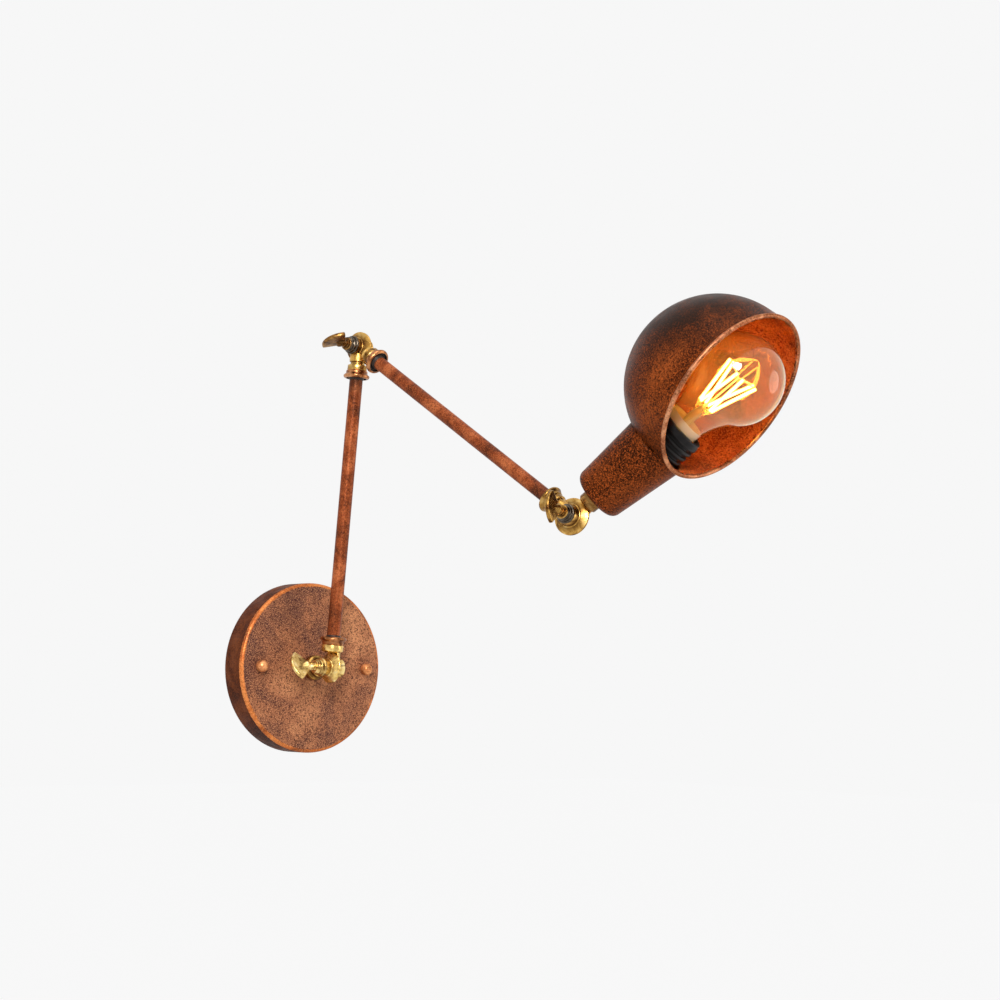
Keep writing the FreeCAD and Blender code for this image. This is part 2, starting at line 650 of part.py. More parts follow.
def shade():
    """A half ball with a straight skirt and a rolled rim; the cup enters from the side."""
    outer, wall = "shade_diameter / 2", "shade_wall"
    crown = ball(outer, Angle1="-90", Angle2="0")
    hollow = ball(f"{outer} - {wall}", Angle1="-90", Angle2="0")
    skirt = cylinder(outer, "skirt_length")
    inside = cylinder(f"{outer} - {wall}", "skirt_length + rim_diameter")
    rim = doc.addObject("Part::Torus", "rim")
    bind(rim, Radius1=f"{outer} - {wall} / 2 + rim_offset", Radius2="rim_diameter / 2",
         Placement__Base__z="skirt_length")
    shell = joined(cut(joined(crown, skirt), joined(hollow, inside)), rim)
    shell.Placement = shade_place()
    entry = cylinder("shade_hole_diameter / 2", "shade_centre")
    node("shade", cut(shell, entry), HEAD)


# ---------------------------------------------------------------- lamp holder

def lamp_holder():
    """The screw holder inside the cup: back, ribbed body, insert, screw shell and tongue."""
    neck, entry = f"{NECK} + fit", f"{NECK} + holder_entry_wall"
    back, body = "holder_back_diameter / 2", "holder_diameter / 2"
    wall = "holder_wall"
    node("holder_back", turned(
        [(neck, "holder_entry_start"), (entry, "holder_entry_start"),
         (entry, "holder_back_start"), (back, "holder_back_start"),
         (back, "holder_start"), (f"{back} - {wall}", "holder_start"),
         (f"{back} - {wall}", f"holder_back_start + {wall}"),
         (neck, f"holder_back_start + {wall}")],
        [(back, "holder_back_start", "holder_back_round")]), HEAD)

    inner = f"{body} - {wall}"
    outline = [(f"{back} - {wall}", "holder_start"), (f"{body} - holder_bevel", "holder_start"),
               (body, "holder_start + holder_bevel_length"), (body, "rib_start")]
    ribs = int((SIZES["holder_end"] - SIZES["rib_start"]) // SIZES["rib_pitch"])
    for rib in range(ribs):
        foot = f"rib_start + {rib} * rib_pitch"
        outline += [(f"{body} - rib_depth", f"{foot} + rib_pitch * {share}") for share in GROOVE]
        outline += [(f"{body} + rib_crest", f"{foot} + rib_pitch * {share}") for share in CREST]
    outline += [(body, "holder_end"), (inner, "holder_end"),
                (inner, f"holder_start + {wall}"), (f"{back} - {wall}", f"holder_start + {wall}")]
    node("holder_body", turned(outline), HEAD)

    floor = f"holder_start + {wall}"
    wires("head_wires", HEAD, f"{HEAD_WEB_TOP} + loose", floor)
    node("holder_insert", group([cylinder(f"{inner} - fit", "insert_length", floor)]), HEAD)
    node("screw_shell", ring("shell_diameter / 2", "shell_diameter / 2 + shell_wall",
                             HOLDER_SEAT, "shell_length"), HEAD)
    foot = block("tongue_width * 2", "tongue_width", "tongue_thickness",
                 ("-tongue_width", "-tongue_width / 2", HOLDER_SEAT))
    post = block("tongue_thickness", "tongue_width", "tongue_height",
                 ("-tongue_width / 2", "-tongue_width / 2", HOLDER_SEAT))
    arm = block("tongue_width", "tongue_width", "tongue_thickness",
                ("-tongue_width / 2", "-tongue_width / 2",
                 f"{HOLDER_SEAT} + tongue_height - tongue_thickness"))
    node("contact_tongue", joined(foot, post, arm), HEAD)


# ---------------------------------------------------------------- bulb

# The bulb stands on the tongue: its heights along the cup's axis are counted up from there.
HOLDER_SEAT = "holder_start + holder_wall + insert_length"
TIP = f"{HOLDER_SEAT} + tongue_height + swivel_gap"
CAP_START = f"{TIP} + tip_length + cap_insulator_length"
CAP_END = f"{CAP_START} + cap_length"
NECK_TOP = f"{CAP_END} + glass_straight"
GLOBE = f"{TIP} + bulb_length - bulb_diameter / 2"
STEM_END = f"{GLOBE} - stem_depth"


def bulb_profile(inset):
    """Half the outline of a pear bulb: a neck that sweeps out into a round globe.

    The sweep's radius is the one that leaves the neck and meets the globe without a corner.
    """
    outer_globe, outer_neck = size("bulb_diameter / 2"), size("bulb_neck_diameter / 2")
    centre, neck_top = size(GLOBE), size(NECK_TOP)
    foot = size(f"{CAP_END} - glass_seat")
    rise = centre - neck_top
    sweep = (rise ** 2 - outer_globe ** 2 + outer_neck ** 2) / (2 * (outer_globe - outer_neck))
    globe, neck, sweep = outer_globe - inset, outer_neck - inset, sweep + inset
    share = globe / (globe + sweep)
    touch = V((neck + sweep) * share, 0, centre - rise * share)
    lean = math.atan2(rise, neck + sweep) / 2
    hollow = V(neck + sweep - sweep * math.cos(lean), 0, neck_top + sweep * math.sin(lean))
    start, bend, top = V(neck, 0, foot), V(neck, 0, neck_top), V(0, 0, centre + globe)
    side, middle = V(globe, 0, centre), V(0, 0, foot)
    edges = [Part.LineSegment(start, bend), Part.Arc(bend, hollow, touch),
             Part.Arc(touch, side, top), Part.LineSegment(top, middle),
             Part.LineSegment(middle, start)]
    return Part.Face(Part.Wire([edge.toShape() for edge in edges]))


def bulb():
    skins = [bulb_profile(inset).revolve(V(), Z, 360) for inset in (0.0, size("glass_wall"))]
    envelope = doc.addObject("Part::Feature", "envelope")
    envelope.Shape = skins[0].cut(skins[1])
    node("bulb_glass", envelope, HEAD)

    tip, inside = "tip_diameter / 2", "cap_diameter / 2 - cap_wall"
    insulator_start = f"{TIP} + tip_length"
    insulator_end = f"{CAP_START} + cap_insulator_lip"
    node("bulb_cap", ring(inside, "cap_diameter / 2", CAP_START, "cap_length"), HEAD)
    node("bulb_cap_insulator", turned(
        [("0", insulator_start), (tip, insulator_start), (inside, CAP_START),
         (inside, insulator_end), ("0", insulator_end)]), HEAD)
    node("bulb_tip_contact", turned(
        [("0", TIP), (f"{tip} - tip_bevel", TIP), (tip, insulator_start),
         ("0", insulator_start)]), HEAD)

    flare, tube, point = "stem_flare / 2", "stem_diameter / 2", "stem_tip_diameter / 2"
    foot = f"{CAP_END} - stem_seat"
    node("bulb_stem", turned(
        [("0", foot), (flare, foot), (flare, f"{foot} + stem_flange"),
         (tube, f"{foot} + stem_taper"), (tube, f"{STEM_END} - stem_tip_length"),
         (point, STEM_END), ("0", STEM_END)]), HEAD)


def stick_end(index, sway, radius, height):
    """One end of a stick: odd and even sticks lean opposite ways about the bulb's axis."""
    lean = sway if index % 2 else -sway
    turn = 2 * math.pi * (index + lean) / STICKS
    return V(radius * math.cos(turn), radius * math.sin(turn), height)


def filaments():
    """Sticks in a zigzag cone round the bulb's axis, and the wires that carry them."""
    low, high = size(f"{GLOBE} - stick_foot_depth"), size(f"{GLOBE} + stick_head_rise")
    hub = V(0, 0, size(f"{STEM_END} - lead_root"))
    crown = V(0, 0, high - size("crown_drop"))
    sticks, sleeves, leads = [], [], [between(hub, crown, "lead_diameter")]
    for index in range(STICKS):
        foot = stick_end(index, STICK_SWAY, size("stick_foot_radius"), low)
        head = stick_end(index, -STICK_SWAY, size("stick_head_radius"), high)
        sticks.append(between(foot, head, "stick_diameter / 2"))
        sleeves.append(between(foot, head, "stick_diameter / 2 + fit"))
        leads.append(between(hub, foot, "lead_diameter / 2"))
        leads.append(between(crown, head, "lead_diameter / 2"))
    node("filament_sticks", group(sticks), HEAD)
    stem = cylinder("stem_diameter / 2", "stem_tip_length + fit",
                    f"{STEM_END} - stem_tip_length")
    node("filament_wires", cut(joined(*leads), joined(*sleeves), stem), HEAD)


def between(start, end, radius):
    """A round bar from one point to another."""
    way = end - start
    bar = doc.addObject("Part::Cylinder", unique("bar"))
    bind(bar, Radius=radius)
    bar.Height = way.Length
    bar.Placement = FreeCAD.Placement(start, FreeCAD.Rotation(Z, way))
    return bar


# ---------------------------------------------------------------- the lamp

for build in (backplate, mounting_bar, plate_fasteners, earth_screw, terminal_block, nipple,
              base_joint, elbow_joint, head_joint, arms, lamp_cup, shade, lamp_holder, bulb,
              filaments):
    build()
doc.recompute()

for thing in doc.Objects:
    if {"Invalid", "Error"} & set(thing.State):
        raise RuntimeError(f"{thing.Label} failed: {thing.State}")
for label, solid in nodes.items():
    if solid.Shape.isNull() or not solid.Shape.isValid() or not solid.Shape.Solids:
        raise RuntimeError(f"{label} has no valid solid")

os.makedirs("parts", exist_ok=True)
for label, solid in nodes.items():
    solid.Shape.exportStep(f"parts/{label}.step")
    box = solid.Shape.BoundBox
    print(f"{label:26s} solids {len(solid.Shape.Solids)}  volume {solid.Shape.Volume:9.1f}  "
          f"x {box.XMin:7.1f} {box.XMax:7.1f}  y {box.YMin:7.1f} {box.YMax:7.1f}  "
          f"z {box.ZMin:7.1f} {box.ZMax:7.1f}")

for label, point, axis in (("base", base_point, base_pivot), ("elbow", elbow_point, elbow_pivot),
                           ("head", head_point, head_pivot)):
    print(label, "pivot", [round(c, 3) for c in point], "axis", [round(c, 5) for c in axis])
for label, way in (("rod 1", rod_1_way), ("rod 2", rod_2_way), ("cup", cup_way)):
    print(label, "runs along", [round(c, 5) for c in way])
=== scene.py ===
"""A swing-arm wall lamp: rust-copper plate, rods, cup and shade on clamp knuckles of old brass."""

import json
import math

import bmesh
import bpy
from mathutils import Matrix, Vector


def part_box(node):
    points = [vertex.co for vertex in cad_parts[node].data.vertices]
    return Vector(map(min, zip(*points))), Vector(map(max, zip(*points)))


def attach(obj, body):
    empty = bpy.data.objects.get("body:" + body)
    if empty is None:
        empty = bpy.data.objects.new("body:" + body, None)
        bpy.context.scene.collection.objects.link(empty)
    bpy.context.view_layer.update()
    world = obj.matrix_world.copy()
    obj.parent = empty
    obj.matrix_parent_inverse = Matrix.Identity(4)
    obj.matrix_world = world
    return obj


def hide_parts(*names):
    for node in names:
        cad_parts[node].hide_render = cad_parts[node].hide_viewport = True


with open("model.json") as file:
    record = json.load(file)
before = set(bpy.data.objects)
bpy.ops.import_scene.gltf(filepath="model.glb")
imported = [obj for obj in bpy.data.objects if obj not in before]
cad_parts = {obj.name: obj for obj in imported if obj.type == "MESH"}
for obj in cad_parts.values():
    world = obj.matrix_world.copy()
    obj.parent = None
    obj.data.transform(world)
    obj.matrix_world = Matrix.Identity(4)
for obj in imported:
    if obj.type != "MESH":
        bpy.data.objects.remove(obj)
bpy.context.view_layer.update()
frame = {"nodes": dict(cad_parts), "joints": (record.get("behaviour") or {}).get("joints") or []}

MM = 0.001
NODES = frame["nodes"]
JOINTS = {joint["name"]: joint for joint in frame["joints"]}
TURN = 2 * math.pi

# ---------------------------------------------------------------- the lamp's own sizes, in mm,
# with its counts, its turns in degrees and some shares of a size

PLATE_R, PLATE_DEEP, PLATE_ROUND, EDGE_BAND = 60.0, 20.0, 3.0, 0.6
STUD_X, NUT_BALL_R, NUT_LIFT = 45.0, 4.3, 0.84
KNUCKLE_R, HEAD_KNUCKLE_R, CHEEK, CHEEK_GAP, CHEEK_ROUND = 10.0, 11.6, 6.6, 1.0, 4.4
PIVOT_R, NECK_R, ROD_R, FIT = 2.55, 5.0, 4.0, 0.05
NECK_RELIEF, NECK_SKIRT, NECK_IN_FLARE, WIRE_BORE_R, CHEEK_DISH = 0.6, 0.9, 4.0, 2.4, 0.35
WALL_NECK_END, CUP_NECK_END = 21.0, 33.0
ARM, ROD_END, ROD_WALL, ROD_CUTS = 228.0, 15.0, 1.1, 48
RING_START, RING_LONG, RING_R = 13.2, 4.2, 7.3
BASE_RING_START, BASE_RING_LONG, BASE_RING_R = 11.2, 5.0, 8.1
FLARE_R, FLARE_LONG, CONE_LONG = 8.8, 4.8, 1.8
COLLAR_START, COLLAR_STEP, COLLAR_END, COLLAR_R, COLLAR_STEP_R = 12.4, 3.4, 21.9, 8.5, 6.7
WASHER_R, WASHER_THICK, WASHER_ROOM = 6.0, 1.6, 0.1
BOSS_R, BOSS_LONG, SHANK_R, SHANK_LONG = 5.0, 4.2, 3.2, 7.6
WING_LONG, WING_TALL, WING_CROWN, WING_FOOT, WING_THICK = 22.0, 12.6, 6.0, 8.0, 2.8
WING_TURNS = {"base": 38.0, "elbow": 54.0, "head": 57.0}
CUP_START, CUP_COLLAR_START, CUP_COLLAR_R = 19.8, 12.8, 7.5
SHADE_R, SHADE_WALL, SKIRT, RIM_R, RIM_OUT = 58.2, 1.2, 13.6, 1.5, 0.6
SHADE_AT, SHADE_OFFSET, SHADE_TURN, SHADE_HOLE_R = 125.4, 5.4, 73.8, 20.4
HOLDER_START, HOLDER_END, HOLDER_R, HOLDER_WALL, HOLDER_BORE_R = 46.0, 93.0, 17.5, 2.4, 10.6
RIB_START, RIB_PITCH, RIBS, RIB_GROOVE, RIB_PROUD = 72.0, 4.4, 4, 1.4, 0.4
GLOBE_AT, GLOBE_R, GLASS_WALL, GLASS_NECK_R, GLASS_SWEEP = 138.8, 30.0, 0.8, 13.0, 36.0
CAP_END, GLASS_FOOT, NECK_REFLECTION_END = 87.8, 83.8, 97.5
STEM_R, STEM_END, STEM_FLARE = 3.2, 111.0, 12.1
STICKS, STICK_R, STICK_LOW, STICK_HIGH = 6, 0.95, 113.5, 143.0
STICK_LOW_R, STICK_HIGH_R, STICK_SWAY, LEAD_R = 5.6, 13.0, 0.30, 0.35

WING_SEAT = CHEEK_GAP / 2 + CHEEK + WASHER_ROOM + WASHER_THICK
WING_START = WING_SEAT + BOSS_LONG + SHANK_LONG
FLARE_START = RING_START + RING_LONG
BASE_FLARE_START = BASE_RING_START + BASE_RING_LONG
NECK_END, BASE_NECK_END = FLARE_START + NECK_IN_FLARE, BASE_FLARE_START + NECK_IN_FLARE

# painted shade on the dome's crown, darker towards its top; paint gone black on the rods near their
# ends
PAINTED_SHADE_WAY, PAINTED_SHADE_FROM, PAINTED_SHADE_OVER, PAINTED_SHADE_MOST = (-0.42, 0.0, 0.85), 0.45, 0.4, 0.9
ROD_BURNT_OVER, ROD_BURNT_MOST = 0.55, 0.85

# ---------------------------------------------------------------- local frames, from the joints


def joint_point(name):
    return Vector(JOINTS[name]["pos_m"])


def wing_side(name):
    """The pivot axis, pointing to the wing screw."""
    return -Vector(JOINTS[name]["axis"]).normalized()


def middle(node):
    low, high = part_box(node)
    return (low + high) / 2


def local_frame(origin, pivot, along):
    """Local X on the pivot, local Z along the neck, in metres."""
    z = along.normalized()
    x = (pivot - z * pivot.dot(z)).normalized()
    place = Matrix((x, z.cross(x), z)).transposed().to_4x4()
    place.translation = origin
    return place


BASE_AT, ELBOW_AT, HEAD_AT = (joint_point(n) for n in ("base_tilt", "elbow_fold", "head_tilt"))
BASE_PIVOT, ELBOW_PIVOT, HEAD_PIVOT = (wing_side(n) for n in
                                       ("base_tilt", "elbow_fold", "head_tilt"))
ROD_1_WAY = (ELBOW_AT - BASE_AT).normalized()
ROD_2_WAY = (HEAD_AT - ELBOW_AT).normalized()
CUP_WAY = (middle("screw_shell") - HEAD_AT).normalized()

WALL = Matrix.Rotation(math.radians(90), 4, "X")
BASE = local_frame(BASE_AT, BASE_PIVOT, Vector((0, 1, 0)))
ARM_1 = local_frame(BASE_AT, BASE_PIVOT, ROD_1_WAY)
ELBOW = local_frame(ELBOW_AT, ELBOW_PIVOT, -ROD_1_WAY)
ARM_2 = local_frame(ELBOW_AT, ELBOW_PIVOT, ROD_2_WAY)
WRIST = local_frame(HEAD_AT, HEAD_PIVOT, -ROD_2_WAY)
HEAD = local_frame(HEAD_AT, HEAD_PIVOT, CUP_WAY)
SHADE = (HEAD @ Matrix.Translation((0, -SHADE_OFFSET * MM, SHADE_AT * MM))
         @ Matrix.Rotation(-math.radians(SHADE_TURN), 4, "X"))

# ---------------------------------------------------------------- materials


class Finish:
    """A material with short words for the nodes that these finishes use."""

    def __init__(self, name, **sockets):
        self.material = bpy.data.materials.new(name)
        self.material.use_nodes = True
        self.tree = self.material.node_tree
        self.shader = self.tree.nodes["Principled BSDF"]
        self.place = self.add("ShaderNodeTexCoord").outputs["Object"]
        for socket, value in sockets.items():
            self.shader.inputs[socket.replace("_", " ")].default_value = value

    def add(self, kind, **settings):
        node = self.tree.nodes.new(kind)
        for key, value in settings.items():
            setattr(node, key, value)
        return node

    def put(self, source, target):
        if isinstance(source, (int, float, tuple)):
            target.default_value = source
        else:
            self.tree.links.new(source, target)

    def noise(self, scale, detail=3.0, rough=0.55, warp=0.0):
        node = self.add("ShaderNodeTexNoise")
        self.put(self.place, node.inputs["Vector"])
        for socket, value in (("Scale", scale), ("Detail", detail), ("Roughness", rough),
                              ("Distortion", warp)):
            node.inputs[socket].default_value = value
        return node.outputs["Fac"]

    def ramp(self, source, *stops):
        """Blend through (position, grey or colour) stops."""
        node = self.add("ShaderNodeValToRGB")
        self.put(source, node.inputs["Fac"])
        elements = node.color_ramp.elements
        while len(elements) < len(stops):
            elements.new(0.5)
        for element, (position, colour) in zip(elements, stops):
            element.position = position
            if isinstance(colour, (int, float)):
                colour = (colour, colour, colour)
            element.color = (*colour[:3], 1.0)
        return node.outputs["Color"]

    def mix(self, share, low, high):
        node = self.add("ShaderNodeMix", data_type="RGBA")
        self.put(share, node.inputs["Factor"])
        for value, socket in ((low, node.inputs["A"]), (high, node.inputs["B"])):
            target = [s for s in node.inputs if s.name == socket.name and s.type == "RGBA"][0]
            self.put((*value, 1.0) if isinstance(value, tuple) else value, target)
        return [s for s in node.outputs if s.type == "RGBA"][0]

    def times(self, one, other):
        node = self.add("ShaderNodeMath", operation="MULTIPLY")
        self.put(one, node.inputs[0])
        self.put(other, node.inputs[1])
        return node.outputs[0]

    def attribute(self, name):
        return self.add("ShaderNodeAttribute", attribute_name=name).outputs["Fac"]

    def edges(self, low, high):
        """How convex the surface is: 0 in grooves, 1 on ridges."""
        point = self.add("ShaderNodeNewGeometry").outputs["Pointiness"]
        return self.ramp(point, (low, 0.0), (high, 1.0))

    def bump(self, height, strength, deep):
        node = self.add("ShaderNodeBump")
        node.inputs["Strength"].default_value = strength
        node.inputs["Distance"].default_value = deep * MM
        self.put(height, node.inputs["Height"])
        self.put(node.outputs["Normal"], self.shader.inputs["Normal"])

    def set(self, **sockets):
        for socket, source in sockets.items():
            self.put(source, self.shader.inputs[socket.replace("_", " ")])
        return self.material


def rust(name, dark, body, light, speck, patch=26.0, grain=1200.0, specks=0.5, pits=0.55,
         rough=(0.42, 0.62), metallic=0.2, sheen=0.22, blackened_and_painted_shade=False):
    """Rust-copper paint: soft clouds with fine bright grains and dark pits over them. With the flag
    set
    it goes black by the stored attribute: paint blackened near rod ends, painted shade on the dome
    crown."""
    finish = Finish(name, Metallic=metallic, Specular_IOR_Level=sheen,
                    Specular_Tint=(0.80, 0.46, 0.30, 1.0))
    clouds = finish.noise(patch, 5.0, 0.62, 0.7)
    colour = finish.ramp(clouds, (0.36, dark), (0.50, body), (0.64, light))
    grains = finish.ramp(finish.noise(grain, 3.0, 0.7), (0.50, 0.0), (0.58, 1.0))
    colour = finish.mix(finish.times(grains, specks), colour, speck)
    holes = finish.ramp(finish.noise(grain * 0.62, 4.0, 0.8, 0.2), (0.42, 1.0), (0.50, 0.0))
    colour = finish.mix(finish.times(holes, pits), colour, tuple(0.5 * c for c in dark))
    # painted shade on the dome's crown, and real blackened paint near the rod ends
    if blackened_and_painted_shade:
        blotches = finish.ramp(finish.noise(patch * 2.4, 4.0, 0.7), (0.36, 0.55), (0.56, 1.0))
        colour = finish.mix(finish.times(finish.attribute("patina_and_painted_shade"), blotches), colour,
                            (0.012, 0.007, 0.005))
    gloss = finish.ramp(finish.noise(patch * 3.0, 4.0), (0.35, rough[0]), (0.65, rough[1]))
    finish.bump(finish.noise(grain * 0.9, 3.0, 0.65), 0.5, 0.16)
    return finish.set(Base_Color=colour, Roughness=gloss)


def brass(name, body, dark, bright, rough=(0.20, 0.38), metallic=0.95, grooves=(0.46, 0.55)):
    """Old brass: dark in its grooves, from tarnish and painted shade, rubbed bright on its ridges."""
    finish = Finish(name, Metallic=metallic)
    clouds = finish.noise(160.0, 4.0, 0.6, 0.5)
    colour = finish.ramp(clouds, (0.34, dark), (0.52, body), (0.70, bright))
    # tarnish and painted shade: the grooves go dark
    colour = finish.mix(finish.edges(*grooves), dark, colour)
    gloss = finish.ramp(finish.noise(420.0, 3.0), (0.35, rough[0]), (0.65, rough[1]))
    finish.bump(finish.noise(900.0, 3.0), 0.18, 0.05)
    return finish.set(Base_Color=colour, Roughness=gloss)


def plain(name, body, worn, scale, rough, metallic=0.0, deep=0.05, **sockets):
    """A plain moulded, plated or fired surface with a faint unevenness."""
    finish = Finish(name, Metallic=metallic, **sockets)
    colour = finish.ramp(finish.noise(scale, 4.0), (0.35, body), (0.68, worn))
    gloss = finish.ramp(finish.noise(scale * 2.0), (0.3, rough[0]), (0.7, rough[1]))
    finish.bump(finish.noise(scale * 5.0, 2.0), 0.2, deep)
    return finish.set(Base_Color=colour, Roughness=gloss)


def clear(name, tint, rough, clearness):
    """Glass; what isn't clear is a faint warm haze that catches the light inside."""
    finish = Finish(name, Transmission_Weight=clearness, IOR=1.45)
    film = finish.ramp(finish.noise(60.0, 3.0), (0.3, tint), (0.7, tuple(c * 0.97 for c in tint)))
    gloss = finish.ramp(finish.noise(90.0), (0.3, rough), (0.7, rough + 0.015))
    return finish.set(Base_Color=film, Roughness=gloss)


def glowing(name, colour, edge, strength):
    """A lit filament stick, whose colour wavers between two along it."""
    finish = Finish(name, Roughness=0.5)
    heat = finish.ramp(finish.noise(900.0, 2.0), (0.35, edge), (0.6, colour))
    finish.shader.inputs["Emission Strength"].default_value = strength
    return finish.set(Base_Color=heat, Emission_Color=heat)


PLATE = rust("plate_rust_copper", (0.070, 0.024, 0.026), (0.27, 0.095, 0.048),
             (0.52, 0.22, 0.10), (0.86, 0.38, 0.16), patch=22.0, grain=1500.0, specks=0.6, pits=0.9)
# lit and shaded copies of the plate's paint: a painted highlight for the rounded edge, painted shade
# for the side
PLATE_EDGE_PAINTED_HIGHLIGHT = rust("plate_edge_painted_highlight", (0.20, 0.05, 0.02), (0.52, 0.13, 0.03), (0.76, 0.25, 0.07),
                  (0.84, 0.32, 0.10), patch=60.0, rough=(0.28, 0.42), metallic=0.5, pits=0.4)
PLATE_SIDE_PAINTED_SHADE = rust("plate_side_painted_shade", (0.02, 0.006, 0.003), (0.075, 0.018, 0.007),
                  (0.16, 0.045, 0.016), (0.24, 0.06, 0.016), patch=40.0, pits=0.5,
                  sheen=0.1)
ROD_PAINT = rust("rod_red_copper", (0.070, 0.014, 0.006), (0.24, 0.048, 0.014),
                 (0.44, 0.12, 0.042), (0.54, 0.15, 0.045), patch=60.0, grain=1300.0, specks=0.4,
                 pits=0.6, rough=(0.30, 0.44), blackened_and_painted_shade=True)
SHADE_PAINT = rust("shade_dark_rust", (0.012, 0.004, 0.002), (0.072, 0.015, 0.003),
                   (0.22, 0.050, 0.011), (0.46, 0.090, 0.016), patch=20.0, grain=1150.0,
                   specks=0.65, pits=0.9, rough=(0.32, 0.46), metallic=0.0, sheen=0.08, blackened_and_painted_shade=True)
SHADE_INSIDE = rust("shade_red_inside", (0.09, 0.012, 0.005), (0.38, 0.072, 0.017),
                    (0.58, 0.14, 0.034), (0.78, 0.22, 0.05), patch=30.0, grain=1100.0,
                    specks=0.5, pits=0.8, rough=(0.34, 0.5), metallic=0.1, sheen=0.12)
RIM_COPPER = rust("rim_bright_copper", (0.12, 0.035, 0.015), (0.36, 0.11, 0.045),
                  (0.66, 0.30, 0.15), (0.74, 0.34, 0.17), patch=70.0, rough=(0.24, 0.36),
                  metallic=0.7, pits=0.4)
NUT_COPPER = rust("ball_nut_copper", (0.30, 0.09, 0.03), (0.72, 0.26, 0.09), (0.92, 0.42, 0.17),
                  (0.94, 0.46, 0.20), patch=200.0, rough=(0.26, 0.38), metallic=0.5, pits=0.3)
BRASS = brass("old_brass", (0.62, 0.34, 0.075), (0.09, 0.032, 0.007), (0.92, 0.62, 0.22))
POLISHED = brass("polished_brass", (0.90, 0.62, 0.20), (0.20, 0.080, 0.018), (1.0, 0.84, 0.42),
                 grooves=(0.43, 0.52))
WING_BRASS = brass("wing_brass", (0.80, 0.54, 0.18), (0.16, 0.070, 0.016), (1.0, 0.80, 0.42),
                   rough=(0.20, 0.34), grooves=(0.43, 0.52))
BROWN_BRASS = brass("browned_brass", (0.34, 0.16, 0.04), (0.05, 0.02, 0.006), (0.60, 0.36, 0.12))
COPPER_RING = brass("coppered_brass", (0.66, 0.26, 0.09), (0.10, 0.032, 0.012),
                    (0.95, 0.50, 0.24))
PATINA = plain("black_patina", (0.012, 0.009, 0.008), (0.05, 0.028, 0.018), 300.0, (0.4, 0.6), 0.5)
DARK_STEEL = plain("dark_steel", (0.045, 0.032, 0.022), (0.14, 0.11, 0.08), 260.0, (0.18, 0.34),
                   1.0, 0.03)
ZINC = plain("zinc_plate", (0.44, 0.45, 0.45), (0.62, 0.62, 0.60), 120.0, (0.3, 0.5), 0.9)
BLACK_PLASTIC = plain("black_plastic", (0.006, 0.005, 0.005), (0.014, 0.012, 0.011), 300.0,
                      (0.30, 0.46), Specular_IOR_Level=0.15)
WHITE_PLASTIC = plain("terminal_plastic", (0.72, 0.71, 0.67), (0.80, 0.79, 0.75), 90.0, (0.4, 0.55))
CERAMIC = plain("holder_ceramic", (0.76, 0.74, 0.69), (0.84, 0.83, 0.79), 80.0, (0.2, 0.35))
FIBRE = plain("washer_fibre", (0.10, 0.04, 0.02), (0.18, 0.08, 0.05), 500.0, (0.7, 0.9))
NICKEL = plain("cap_nickel", (0.60, 0.56, 0.48), (0.76, 0.73, 0.66), 200.0, (0.2, 0.35), 1.0)
BARE_BRASS = plain("contact_brass", (0.66, 0.46, 0.16), (0.80, 0.62, 0.28), 220.0, (0.2, 0.36), 1.0)
LEAD = plain("lead_wire", (0.46, 0.40, 0.33), (0.66, 0.60, 0.52), 300.0, (0.3, 0.45), 1.0, 0.01)
SLEEVE = plain("wire_sleeve", (0.16, 0.07, 0.03), (0.24, 0.12, 0.06), 400.0, (0.5, 0.7))
GLASS = clear("bulb_glass", (1.0, 0.74, 0.38), 0.0, 0.965)
# painted reflection: a lighter, milkier glass for the bulb's neck
NECK_PAINTED_REFLECTION = clear("bulb_neck_painted_reflection", (1.0, 0.84, 0.60), 0.08, 0.66)
STEM_GLASS = clear("stem_glass", (1.0, 0.92, 0.74), 0.08, 0.7)
HOT = glowing("lit_filament", (1.0, 0.72, 0.22), (1.0, 0.56, 0.09), 36.0)

# ---------------------------------------------------------------- shaping tools


def rounded(outline, steps=6):
    """Corners as (radius, height) or (radius, height, rounding). A rounded corner gets an arc about
    the rounding's centre, but always of 1 mm radius, because slerp gives back a unit vector."""
    points = []
    count = len(outline)
    for i, corner in enumerate(outline):
        here = Vector(corner[:2])
        if len(corner) == 2:
            points.append(here)
            continue
        back = (Vector(outline[i - 1][:2]) - here).normalized()
        ahead = (Vector(outline[(i + 1) % count][:2]) - here).normalized()
        half = back.angle(ahead) / 2
        centre = here + (back + ahead).normalized() * corner[2] / math.sin(half)
        reach = corner[2] / math.tan(half)
        start, end = here + back * reach - centre, here + ahead * reach - centre
        for step in range(steps + 1):
            points.append(centre + start.slerp(end, step / steps))
    return points


def arc(centre, radius, start, end, steps):
    """Points on an arc about (radius, height), angles in degrees from the level outwards."""
    angles = [math.radians(start + (end - start) * i / steps) for i in range(steps + 1)]
    return [Vector((centre[0] + radius * math.cos(a), centre[1] + radius * math.sin(a)))
            for a in angles]


def new_piece(name, shape, place):
    """A finished mesh from a shape in local millimetres, put in place."""
    bmesh.ops.transform(shape, matrix=place @ Matrix.Scale(MM, 4), verts=shape.verts)
    mesh = bpy.data.meshes.new(name)
    shape.to_mesh(mesh)
    shape.free()
    piece = bpy.data.objects.new(name, mesh)
    bpy.context.scene.collection.objects.link(piece)
    return piece


